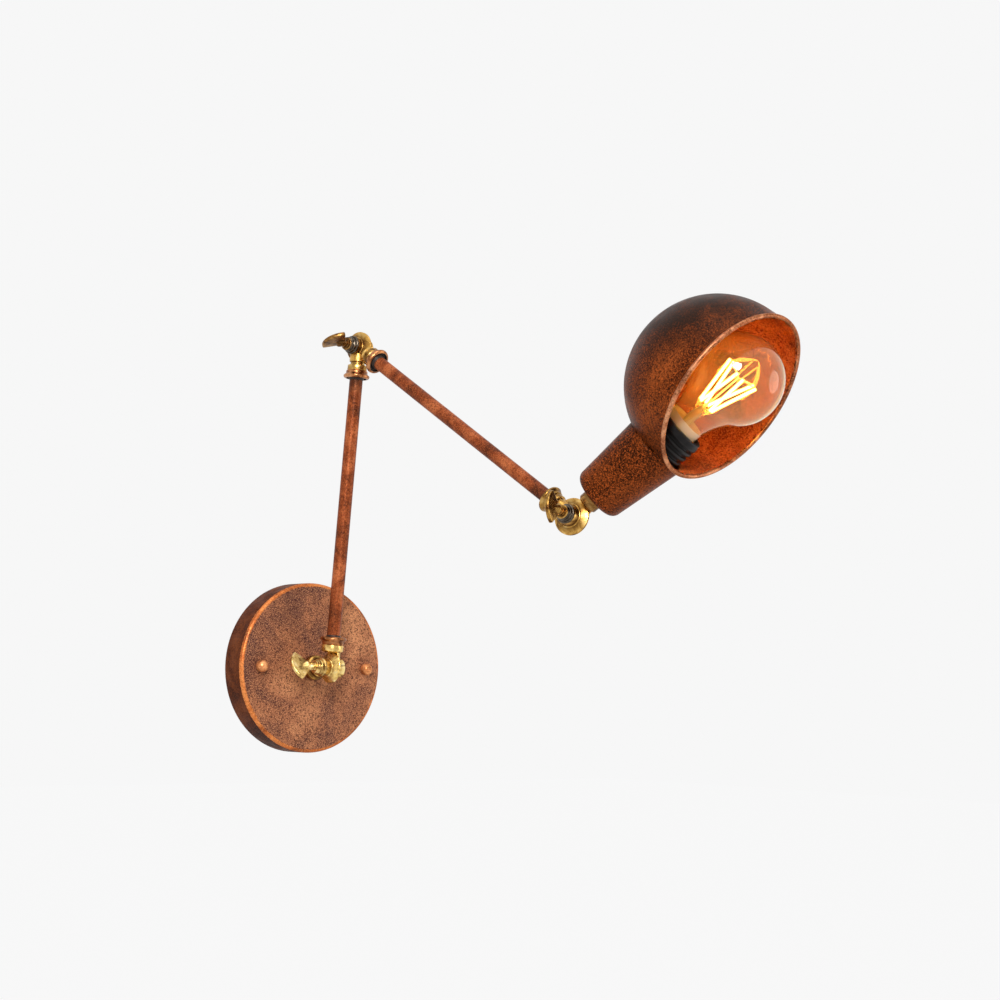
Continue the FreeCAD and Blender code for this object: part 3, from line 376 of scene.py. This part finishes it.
def turned(points, steps):
    """A shape turned about local Z from a closed outline of (radius, height) points."""
    shape = bmesh.new()
    corners = [shape.verts.new((max(p[0], 0.0), 0.0, p[1])) for p in points]
    edges = [shape.edges.new(pair) for pair in zip(corners, corners[1:] + corners[:1])]
    bmesh.ops.spin(shape, geom=corners + edges, cent=(0, 0, 0), axis=(0, 0, 1),
                   angle=TURN, steps=steps, use_merge=True)
    bmesh.ops.remove_doubles(shape, verts=shape.verts, dist=1e-4)
    bmesh.ops.dissolve_degenerate(shape, edges=shape.edges, dist=1e-5)
    bmesh.ops.recalc_face_normals(shape, faces=shape.faces)
    return shape


def about_x(shape, side=1):
    """Lay a shape turned about Z on the local X axis."""
    bmesh.ops.rotate(shape, matrix=Matrix.Rotation(side * math.pi / 2, 3, "Y"), verts=shape.verts)
    return shape


def bar(radius, start, end, sides):
    """A round bar between two local points."""
    way = Vector(end) - Vector(start)
    shape = bmesh.new()
    bmesh.ops.create_cone(shape, cap_ends=True, segments=sides, radius1=radius, radius2=radius,
                          depth=way.length)
    turn = Vector((0, 0, 1)).rotation_difference(way).to_matrix().to_4x4()
    place = Matrix.Translation((Vector(start) + Vector(end)) / 2) @ turn
    bmesh.ops.transform(shape, matrix=place, verts=shape.verts)
    return shape


def combine(shapes):
    """Several shapes in one, each kept whole."""
    whole = bmesh.new()
    for shape in shapes:
        part = bpy.data.meshes.new("part")
        shape.to_mesh(part)
        shape.free()
        whole.from_mesh(part)
        bpy.data.meshes.remove(part)
    return whole


def boolean(piece, operation, *others):
    """Join or cut other pieces; they are used up."""
    for other in others:
        step = piece.modifiers.new(operation, "BOOLEAN")
        step.operation, step.solver, step.object = operation, "EXACT", other
    bpy.context.view_layer.update()
    ready = piece.evaluated_get(bpy.context.evaluated_depsgraph_get())
    mesh = bpy.data.meshes.new_from_object(ready)
    piece.modifiers.clear()
    piece.data = mesh
    for other in others:
        bpy.data.objects.remove(other)
    return piece


def finish(piece, body, slot, materials, nodes=(), sharp=32.0):
    """Give a piece its finish, the body it moves with and the nodes it stands for."""
    for material in materials if isinstance(materials, (list, tuple)) else (materials,):
        piece.data.materials.append(material)
    piece.data.shade_smooth()
    piece.data.set_sharp_from_angle(angle=math.radians(sharp))
    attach(piece, body)
    if nodes:
        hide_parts(*nodes)
    return piece


def as_cut(name, node):
    """A copy of a node's own mesh with its corners shared, so that it shades smoothly."""
    shape = bmesh.new()
    shape.from_mesh(NODES[node].data)
    bmesh.ops.remove_doubles(shape, verts=shape.verts, dist=0.002 * MM)
    return new_piece(name, shape, Matrix.Scale(1 / MM, 4))


def lathe(name, outline, place, body, slot, materials, nodes=(), steps=96, sharp=32.0):
    return finish(new_piece(name, turned(rounded(outline), steps), place), body, slot, materials,
                  nodes, sharp)


def paint(piece, place, choose):
    """Pick each face's material by its middle, in local millimetres."""
    back = place.inverted()
    for face in piece.data.polygons:
        spot = back @ face.center / MM
        face.material_index = choose(spot, back.to_3x3() @ face.normal)


def store_blackened_and_painted_shade(piece, place, depth):
    """Store how black the paint goes at each point, found in local millimetres: blackened paint near
    the rod ends, painted shade on the dome's crown.
    """
    patina_and_painted_shade = piece.data.attributes.new("patina_and_painted_shade", "FLOAT", "POINT")
    back = place.inverted()
    patina_and_painted_shade.data.foreach_set("value", [depth(back @ vert.co / MM) for vert in piece.data.vertices])


def fade(distance, reach):
    """How black a rod is at a distance from its end: most near it, and not at all from the reach."""
    if not reach:
        return 0.0
    return max(0.0, min(1.0, (reach - distance) / (ROD_BURNT_OVER * reach))) * ROD_BURNT_MOST


# ---------------------------------------------------------------- backplate


def backplate():
    """A round dish: mottled face, a painted highlight on its rounded edge, painted shade on its side.
    """
    plate = as_cut("copper_backplate", "backplate")
    finish(plate, "wall_mount", "rust_copper", (PLATE, PLATE_EDGE_PAINTED_HIGHLIGHT, PLATE_SIDE_PAINTED_SHADE), ("backplate",))
    rim_start, side_start = (PLATE_R - PLATE_ROUND + EDGE_BAND,
                             PLATE_DEEP - PLATE_ROUND + EDGE_BAND)

    # painted highlight on the rounded edge, painted shade on the side wall
    def zone(spot, normal):
        if spot.xy.length < rim_start or normal.xy.length < 0.2:
            return 0
        return 1 if spot.z > side_start else 2
    paint(plate, WALL, zone)


def ball_nuts():
    """Two balls on the plate, cut flat where they meet its face."""
    middle_z = PLATE_DEEP + NUT_BALL_R * NUT_LIFT
    foot = -math.degrees(math.asin(NUT_LIFT))
    shapes = []
    for x in (-STUD_X, STUD_X):
        dome = turned(arc((0, middle_z), NUT_BALL_R, foot, 90, 16) + [Vector((0, PLATE_DEEP))], 40)
        bmesh.ops.translate(dome, vec=(x, 0, 0), verts=dome.verts)
        shapes.append(dome)
    finish(new_piece("domed_ball_nuts", combine(shapes), WALL), "wall_mount", "rust_copper",
           NUT_COPPER, ("ball_nuts",))


def base_collar():
    step = COLLAR_START + COLLAR_STEP
    bore = NECK_R + FIT
    lathe("stepped_base_collar", [
        (bore, COLLAR_START), (COLLAR_STEP_R, COLLAR_START, 1.2), (COLLAR_STEP_R, step - 0.5),
        (COLLAR_R - 0.9, step), (COLLAR_R, step + 1.2, 0.8), (COLLAR_R, COLLAR_END - 1.0, 0.7),
        (COLLAR_R - 0.6, COLLAR_END), (bore, COLLAR_END)],
        BASE, "base_turret", "antique_brass", BRASS, ("base_collar",), 72)


# ---------------------------------------------------------------- knuckles


def knuckle(name, place, side, neck_end, body, node, radius=KNUCKLE_R, socket=True,
            metal=BRASS):
    """Half a knuckle: a round cheek beside the pivot plane and a neck that stands on it."""
    near, far = CHEEK_GAP / 2, CHEEK_GAP / 2 + CHEEK
    neck_foot = radius + NECK_RELIEF
    seat = WASHER_R + 0.4
    cheek = about_x(turned(rounded([
        (PIVOT_R, near), (radius, near, 0.3), (radius, far, CHEEK_ROUND),
        (seat, far, 0.3), (seat - 0.3, far - CHEEK_DISH), (PIVOT_R, far - CHEEK_DISH)], 8), 72), side)
    piece = new_piece(name, cheek, place)
    bore = ROD_R + FIT if socket else WIRE_BORE_R
    floor = ROD_END if socket else neck_end - 1
    neck = new_piece("neck", turned([
        (WIRE_BORE_R, neck_foot), (NECK_R + NECK_SKIRT, neck_foot),
        (NECK_R, neck_foot + NECK_SKIRT), (NECK_R, neck_end), (bore, neck_end), (bore, floor),
        (WIRE_BORE_R, floor)], 48), place)
    web_shape = bar(NECK_R + NECK_SKIRT, (0, 0, radius * 0.55), (0, 0, neck_foot + 0.3), 48)
    bmesh.ops.bisect_plane(web_shape, geom=web_shape.verts[:] + web_shape.edges[:]
                           + web_shape.faces[:], plane_co=(side * near, 0, 0),
                           plane_no=(-side, 0, 0), clear_outer=True)
    bmesh.ops.holes_fill(web_shape, edges=web_shape.edges, sides=0)
    web = new_piece("web", web_shape, place)
    boolean(piece, "UNION", neck, web)
    return finish(piece, body, "antique_brass", metal, (node,), 40.0)


def wing_blade():
    """A flat fan that stands on local X and widens to an arched outer edge."""
    curve = WING_LONG ** 2 / (8 * WING_CROWN) + WING_CROWN / 2
    reach = math.degrees(math.asin(WING_LONG / 2 / curve))
    crown = arc((WING_START + WING_TALL - curve, 0), curve, -reach, reach, 24)
    shape = bmesh.new()
    rim = [shape.verts.new((p[0], -WING_THICK / 2, p[1])) for p in
           [(WING_START - 1.0, -WING_FOOT / 2)] + crown + [(WING_START - 1.0, WING_FOOT / 2)]]
    face = shape.faces.new(rim)
    moved = bmesh.ops.extrude_face_region(shape, geom=[face])["geom"]
    bmesh.ops.translate(shape, vec=(0, WING_THICK, 0),
                        verts=[v for v in moved if isinstance(v, bmesh.types.BMVert)])
    bmesh.ops.recalc_face_normals(shape, faces=shape.faces)
    sharp = [e for e in shape.edges if e.calc_face_angle(0) > math.radians(50)]
    bmesh.ops.bevel(shape, geom=sharp, offset=0.85, offset_type="OFFSET", segments=4,
                    profile=0.5, affect="EDGES", material=-1, clamp_overlap=True)
    return shape


def wing_screw(joint, place, body, holder, blade_brass, boss_metal):
    """A wing and its tapered shank on a stepped boss, with the clamp washer under it."""
    turned_place = place @ Matrix.Rotation(math.radians(WING_TURNS[joint]), 4, "X")
    screw = new_piece(joint + "_wing_blade", wing_blade(), turned_place)
    seat, boss_end = WING_SEAT, WING_SEAT + BOSS_LONG
    shank = about_x(turned(rounded([
        (0, boss_end - 0.6), (SHANK_R + 1.0, boss_end - 0.6), (SHANK_R + 0.9, boss_end + 0.8, 0.5),
        (SHANK_R - 0.3, boss_end + 1.8, 0.6), (SHANK_R, WING_START - 1.2, 1.2),
        (SHANK_R + 0.7, WING_START + 0.6, 1.0), (WING_THICK * 0.5, WING_START + 4.5),
        (0, WING_START + 5.0)]), 40))
    boolean(screw, "UNION", new_piece("shank", shank, place))
    finish(screw, body, "bright_brass", blade_brass, (joint + "_wing_screw",), 40.0)

    boss = about_x(turned(rounded([
        (0, seat), (BOSS_R, seat, 0.4), (BOSS_R, seat + 1.6, 0.6), (BOSS_R - 0.7, seat + 2.0, 0.3),
        (BOSS_R - 0.2, seat + 3.2, 0.6), (BOSS_R - 1.0, boss_end, 0.6), (0, boss_end)]), 48))
    pin = about_x(turned(rounded([
        (0, 0.6 - CHEEK), (PIVOT_R - FIT, 0.6 - CHEEK, 0.5), (PIVOT_R - FIT, seat - WASHER_ROOM),
        (0, seat - WASHER_ROOM)]), 32))
    finish(new_piece(joint + "_screw_boss", combine([boss, pin]), place), body, "bright_brass",
           boss_metal)
    washer = about_x(turned(rounded([
        (PIVOT_R, seat - FIT - WASHER_THICK), (WASHER_R, seat - FIT - WASHER_THICK, 0.5),
        (WASHER_R, seat - FIT, 0.5), (PIVOT_R, seat - FIT)]), 64))
    slot = "bright_brass" if joint == "base" else "dark_steel"
    finish(new_piece(joint + "_dark_washer", washer, place), holder, slot, boss_metal,
           (joint + "_clamp_washer",))


# ---------------------------------------------------------------- rods, rings and ferrules


def bead(name, start, long, radius, place, body, node, material=None):
    """A round lock ring on a neck."""
    bore = NECK_R + FIT
    lathe(name, [(bore, start), (radius - 0.6, start, 1.0), (radius, start + long * 0.5, 1.4),
                 (radius - 0.5, start + long - FIT, 1.0), (bore, start + long - FIT)],
          place, body, "antique_brass", material or BRASS, (node,), 72, 50.0)


def ferrule(name, start, place, body, node, material=None):
    """A flared collar with a sharp lip; a dark cone runs from its dished end to the rod."""
    bore, end = NECK_R + FIT, start + FLARE_LONG
    outline = [(bore, start), (FLARE_R - 1.6, start, 0.7), (FLARE_R - 1.1, start + 2.0, 1.0),
               (FLARE_R, start + 3.7, 0.5), (FLARE_R - 0.3, end, 0.5), (FLARE_R - 1.1, end, 0.3),
               (FLARE_R - 1.7, end - 0.7), (NECK_R + 1.1, end - 0.6),
               (ROD_R + 0.7, end + CONE_LONG), (ROD_R + FIT, end + CONE_LONG),
               (ROD_R + FIT, start + NECK_IN_FLARE), (bore, start + NECK_IN_FLARE)]
    piece = lathe(name, outline, place, body, "antique_brass", (material or BRASS, PATINA),
                  (node,), 72, 45.0)
    paint(piece, place, lambda spot, normal: int(
        spot.xy.length < FLARE_R - 1.2 and spot.z > end - 0.8))
    return piece


def rod(name, place, body, node, dark_start, dark_end):
    """A straight tube whose paint has gone black near one or both ends."""
    low, high = ROD_END, ARM - ROD_END
    bore = ROD_R - ROD_WALL
    shape = turned(rounded([(bore, low), (ROD_R, low, 0.3), (ROD_R, high, 0.3), (bore, high)]), 48)
    for cut in range(1, ROD_CUTS):
        level = low + (high - low) * cut / ROD_CUTS
        bmesh.ops.bisect_plane(shape, geom=shape.verts[:] + shape.edges[:] + shape.faces[:],
                               plane_co=(0, 0, level), plane_no=(0, 0, 1))
    piece = new_piece(name, shape, place)
    store_blackened_and_painted_shade(piece, place, lambda spot: max(fade(spot.z - low, dark_start),
                                        fade(high - spot.z, dark_end)))
    finish(piece, body, "rust_copper", ROD_PAINT, (node,))


# ---------------------------------------------------------------- cup and shade


def lamp_cup():
    """The tapered cup, in the dome's dark paint."""
    finish(as_cut("tapered_lamp_cup", "lamp_cup"), "head", "rust_copper", SHADE_PAINT,
           ("lamp_cup",), 40.0)


def shade():
    """The dome's shell with its cup hole, painted dark outside and red inside, with painted shade
    darkening its crown.
    """
    inner = SHADE_R - SHADE_WALL
    outline = (arc((0, 0), SHADE_R, -90, 0, 40) + [Vector((SHADE_R, SKIRT)), Vector((inner, SKIRT))]
               + arc((0, 0), inner, 0, -90, 40))
    dome = new_piece("domed_shade", turned(outline, 160), SHADE)
    drill = new_piece("drill", bar(SHADE_HOLE_R, (0, 0, 0), (0, 0, SHADE_AT), 96), HEAD)
    boolean(dome, "DIFFERENCE", drill)
    # painted shade: the dome's paint goes black towards its crown
    crown = (SHADE.inverted().to_3x3() @ Vector(PAINTED_SHADE_WAY)).normalized()

    def crown_painted_shade(spot):
        above = (spot.dot(crown) / SHADE_R - PAINTED_SHADE_FROM) / PAINTED_SHADE_OVER
        return PAINTED_SHADE_MOST * min(1.0, max(0.0, above))
    store_blackened_and_painted_shade(dome, SHADE, crown_painted_shade)
    finish(dome, "head", "rust_copper", (SHADE_PAINT, SHADE_INSIDE), ("shade",), 40.0)
    middle_r = SHADE_R - SHADE_WALL / 2

    def side(spot, normal):
        reach = spot.length if spot.z < 0 else spot.xy.length
        return int(reach < middle_r)
    paint(dome, SHADE, side)
    rim = turned(arc((middle_r + RIM_OUT, SKIRT), RIM_R, 0, 345, 23), 192)
    finish(new_piece("rolled_rim", rim, SHADE), "head", "rust_copper", RIM_COPPER)


# ---------------------------------------------------------------- holder and bulb


def holder():
    """A black sleeve with deep grooves between its upper ribs."""
    inner = HOLDER_R - HOLDER_WALL
    outline = [(HOLDER_BORE_R, HOLDER_START), (HOLDER_R - 1.5, HOLDER_START, 0.5),
               (HOLDER_R, HOLDER_START + 4), (HOLDER_R, RIB_START)]
    for rib in range(RIBS):
        foot = RIB_START + rib * RIB_PITCH
        outline += [(HOLDER_R - RIB_GROOVE, foot + 0.7, 0.3),
                    (HOLDER_R - RIB_GROOVE, foot + 2.4, 0.3),
                    (HOLDER_R + RIB_PROUD, foot + 3.1, 0.4),
                    (HOLDER_R + RIB_PROUD, foot + 4.2, 0.4)]
    outline += [(HOLDER_R, HOLDER_END, 0.8), (inner, HOLDER_END, 0.6),
                (inner, HOLDER_START + HOLDER_WALL),
                (HOLDER_BORE_R, HOLDER_START + HOLDER_WALL)]
    lathe("ribbed_holder_skirt", outline, HEAD, "head", "black_plastic", BLACK_PLASTIC,
          ("holder_body",), 96, 45.0)


def glass_outline(globe, neck, sweep, foot):
    """A neck that sweeps out into a round globe, from its foot to its top."""
    neck_top = GLOBE_AT - math.sqrt((globe + sweep) ** 2 - (neck + sweep) ** 2)
    lean = math.degrees(math.atan2(GLOBE_AT - neck_top, neck + sweep))
    hollow = arc((neck + sweep, neck_top), sweep, 180, 180 - lean, 14)
    round_part = arc((0, GLOBE_AT), globe, -lean, 90, 40)
    return [Vector((neck, foot))] + hollow + round_part[1:]


def bulb():
    outer = glass_outline(GLOBE_R, GLASS_NECK_R, GLASS_SWEEP, GLASS_FOOT)
    inner = glass_outline(GLOBE_R - GLASS_WALL, GLASS_NECK_R - GLASS_WALL,
                          GLASS_SWEEP + GLASS_WALL, GLASS_FOOT)
    envelope = finish(new_piece("bulb_envelope", turned(outer + inner[::-1], 96), HEAD), "head",
                      "clear_glass", (GLASS, NECK_PAINTED_REFLECTION), ("bulb_glass",), 60.0)
    # the glass's neck gets the lighter band of painted reflection
    paint(envelope, HEAD, lambda spot, normal: int(spot.z < NECK_REFLECTION_END))
    foot = CAP_END - 3.6
    lathe("flared_bulb_stem", [
        (0, foot), (STEM_FLARE, foot), (STEM_FLARE, foot + 0.9), (STEM_FLARE - 4, foot + 2.6),
        (STEM_R + 1.2, foot + 6.5), (STEM_R, foot + 10), (STEM_R, STEM_END - 5),
        (STEM_R - 1.2, STEM_END - 1.5), (1.2, STEM_END, 0.8), (0, STEM_END)],
        HEAD, "head", "stem_glass", STEM_GLASS, ("bulb_stem",), 40, 60.0)


def zigzag(index):
    """The two ends of one stick of the zigzag, in local millimetres."""
    step = TURN / STICKS
    sway = STICK_SWAY if index % 2 else -STICK_SWAY
    low, high = step * (index + sway), step * (index - sway)
    return (Vector((STICK_LOW_R * math.cos(low), STICK_LOW_R * math.sin(low), STICK_LOW)),
            Vector((STICK_HIGH_R * math.cos(high), STICK_HIGH_R * math.sin(high), STICK_HIGH)))


def filaments():
    ends = [zigzag(index) for index in range(STICKS)]
    sticks = combine([bar(STICK_R, foot, head, 16) for foot, head in ends])
    finish(new_piece("lit_filament_sticks", sticks, HEAD), "head", "filament", HOT,
           ("filament_sticks",))
    hub, crown = Vector((0, 0, STEM_END - 0.2)), Vector((0, 0, STICK_HIGH - 3))
    leads = [bar(LEAD_R * 1.6, hub, crown, 10)]
    for foot, head in ends:
        leads.append(bar(LEAD_R, hub, foot, 8))
        leads.append(bar(LEAD_R, crown, head, 8))
    finish(new_piece("filament_leads", combine(leads), HEAD), "head", "lead_wire", LEAD,
           ("filament_wires",))


# ---------------------------------------------------------------- what stays as it was cut

KEPT = {
    ZINC: ("mounting_bar", "plate_studs", "earth_screw", "plate_nipple", "plate_washer",
           "plate_nut", "cup_nut", "terminal_screws"),
    WHITE_PLASTIC: ("terminal_block",),
    CERAMIC: ("holder_insert",),
    FIBRE: ("base_fibre_washer", "elbow_fibre_washer", "head_fibre_washer"),
    BLACK_PLASTIC: ("holder_back", "bulb_cap_insulator"),
    NICKEL: ("bulb_cap", "bulb_tip_contact"),
    BARE_BRASS: ("screw_shell", "contact_tongue"),
    SLEEVE: ("plate_wires", "rod_1_wires", "rod_2_wires", "head_wires"),
}


def dress_kept_nodes():
    for material, names in KEPT.items():
        for name in names:
            materials = NODES[name].data.materials
            materials.clear()
            materials.append(material)


# ---------------------------------------------------------------- camera, light and stage

PHOTO_PX, FOCAL_PX = 1000, 1909.0
SENSOR_WIDE = 36.0
CAMERA_TARGET = Vector((0.12027, -0.080, 0.12603))
CAMERA_AWAY = 1.4
CAMERA_AZIMUTH, CAMERA_ELEVATION, CAMERA_ROLL = -40.71, -5.92, -1.31
BACKDROP, SKY_LIGHT = 0.930, 0.42
FLOOR_LEVEL, FLOOR_REACH, FLOOR_GREY = -0.75, 12000.0, 0.9
FLOOR_SHINE, FLOOR_SHINE_SEEN = 0.976, 0.93
LAMP_AIM = (0.05, -0.15, 0.12)


def camera():
    az, el = math.radians(CAMERA_AZIMUTH), math.radians(CAMERA_ELEVATION)
    back = Vector((math.sin(az) * math.cos(el), -math.cos(az) * math.cos(el), math.sin(el)))
    right = (-back).cross(Vector((0, 0, 1))).normalized()
    up = right.cross(-back)
    spin = Matrix.Rotation(math.radians(CAMERA_ROLL), 3, -back)
    place = Matrix((spin @ right, spin @ up, back)).transposed().to_4x4()
    place.translation = CAMERA_TARGET + back * CAMERA_AWAY
    data = bpy.data.cameras.new("camera")
    data.sensor_width = SENSOR_WIDE
    data.lens = data.sensor_width * FOCAL_PX / PHOTO_PX
    data.clip_end = 100.0
    eye = bpy.data.objects.new("camera", data)
    eye.matrix_world = place
    bpy.context.scene.collection.objects.link(eye)
    bpy.context.scene.camera = eye


def soft_lamp(name, spot, wide, power):
    """A round white lamp that faces the middle of the object."""
    data = bpy.data.lights.new(name, "AREA")
    data.shape, data.size, data.energy = "DISK", wide, power
    lamp = bpy.data.objects.new(name, data)
    lamp.location = spot
    way = Vector(LAMP_AIM) - Vector(spot)
    lamp.rotation_euler = way.to_track_quat("-Z", "Y").to_euler()
    bpy.context.scene.collection.objects.link(lamp)


def pale(tree, weak, strength):
    """White to the eye, to metal and to glass; weaker as a light."""
    path = tree.nodes.new("ShaderNodeLightPath")
    seen = tree.nodes.new("ShaderNodeMath")
    seen.operation = "MAXIMUM"
    tree.links.new(path.outputs["Is Camera Ray"], seen.inputs[0])
    also = tree.nodes.new("ShaderNodeMath")
    also.operation = "MAXIMUM"
    tree.links.new(path.outputs["Is Glossy Ray"], also.inputs[0])
    tree.links.new(path.outputs["Is Transmission Ray"], also.inputs[1])
    tree.links.new(also.outputs[0], seen.inputs[1])
    level = tree.nodes.new("ShaderNodeMapRange")
    tree.links.new(seen.outputs[0], level.inputs["Value"])
    level.inputs["To Min"].default_value = weak
    level.inputs["To Max"].default_value = strength
    return level.outputs["Result"]


def surroundings():
    scene = bpy.context.scene
    scene.view_settings.view_transform = "Standard"
    world = bpy.data.worlds.new("studio")
    world.use_nodes = True
    sky = world.node_tree.nodes["Background"]
    sky.inputs["Color"].default_value = (1, 1, 1, 1)
    world.node_tree.links.new(pale(world.node_tree, SKY_LIGHT, BACKDROP), sky.inputs["Strength"])
    scene.world = world

    floor_shape = bmesh.new()
    bmesh.ops.create_grid(floor_shape, x_segments=1, y_segments=1, size=FLOOR_REACH)
    floor = new_piece("floor", floor_shape, Matrix.Translation((0, 0, FLOOR_LEVEL)))
    paper = bpy.data.materials.new("floor_paper")
    paper.use_nodes = True
    tree = paper.node_tree
    tree.nodes.remove(tree.nodes["Principled BSDF"])
    lit = tree.nodes.new("ShaderNodeBsdfDiffuse")
    lit.inputs["Color"].default_value = (FLOOR_GREY, FLOOR_GREY, FLOOR_GREY, 1)
    shine = tree.nodes.new("ShaderNodeEmission")
    shine.inputs["Strength"].default_value = FLOOR_SHINE
    both = tree.nodes.new("ShaderNodeMixShader")
    tree.links.new(pale(tree, 0.0, FLOOR_SHINE_SEEN), both.inputs["Fac"])
    tree.links.new(lit.outputs[0], both.inputs[1])
    tree.links.new(shine.outputs[0], both.inputs[2])
    tree.links.new(both.outputs[0], tree.nodes["Material Output"].inputs["Surface"])
    floor.data.materials.append(paper)

    soft_lamp("key", (-1.1, -1.4, 0.8), 0.6, 30.0)
    soft_lamp("fill", (1.2, -1.2, 0.1), 0.9, 4.0)
    soft_lamp("top", (-0.3, -0.6, 1.5), 0.8, 4.0)


# ---------------------------------------------------------------- the lamp


def build():
    backplate()
    ball_nuts()
    base_collar()
    knuckle("base_knuckle_wall_half", BASE, 1, WALL_NECK_END, "base_turret", "base_knuckle_fixed",
            metal=POLISHED)
    knuckle("base_knuckle_rod_half", ARM_1, -1, BASE_NECK_END, "arm_1",
            "base_knuckle_moving", metal=POLISHED)
    knuckle("elbow_knuckle_rod_1_half", ELBOW, 1, NECK_END, "arm_1", "elbow_knuckle_lower")
    knuckle("elbow_knuckle_rod_2_half", ARM_2, -1, NECK_END, "arm_2", "elbow_knuckle_upper")
    knuckle("head_knuckle_rod_half", WRIST, 1, NECK_END, "wrist", "head_knuckle_rod_side",
            HEAD_KNUCKLE_R)
    knuckle("head_knuckle_cup_half", HEAD, -1, CUP_NECK_END, "head", "head_knuckle_cup_side",
            HEAD_KNUCKLE_R, socket=False)
    wing_screw("base", ARM_1, "base_wing", "base_turret", WING_BRASS, WING_BRASS)
    wing_screw("elbow", ARM_2, "elbow_wing", "arm_1", BROWN_BRASS, DARK_STEEL)
    wing_screw("head", HEAD, "head_wing", "wrist", BRASS, DARK_STEEL)

    bead("base_brass_ring", BASE_RING_START, BASE_RING_LONG, BASE_RING_R, ARM_1, "arm_1",
         "base_lock_ring", POLISHED)
    bead("elbow_ring_on_rod_1", RING_START, RING_LONG, RING_R, ELBOW, "arm_1", "elbow_lower_ring")
    bead("elbow_ring_on_rod_2", RING_START, RING_LONG, RING_R, ARM_2, "arm_2", "elbow_upper_ring")
    bead("head_brass_ring", RING_START, RING_LONG, RING_R, WRIST, "wrist", "head_lock_ring")
    bead("cup_brass_collar", CUP_COLLAR_START, CUP_START - CUP_COLLAR_START, CUP_COLLAR_R, HEAD,
         "head", "cup_collar", BROWN_BRASS)
    ferrule("rod_1_foot_flare", BASE_FLARE_START, ARM_1, "arm_1", "rod_1_lower_ferrule",
            COPPER_RING)
    ferrule("rod_1_top_flare", FLARE_START, ELBOW, "arm_1", "rod_1_upper_ferrule", COPPER_RING)
    ferrule("rod_2_top_flare", FLARE_START, ARM_2, "arm_2", "rod_2_upper_ferrule", COPPER_RING)
    ferrule("rod_2_end_flare", FLARE_START, WRIST, "arm_2", "rod_2_lower_ferrule")
    rod("rod_1_tube", ARM_1, "arm_1", "rod_1", 0, 24.0)
    rod("rod_2_tube", ARM_2, "arm_2", "rod_2", 0, 22.0)
    lamp_cup()
    shade()
    holder()
    bulb()
    filaments()
    dress_kept_nodes()


build()
camera()
surroundings()

bpy.context.view_layer.update()
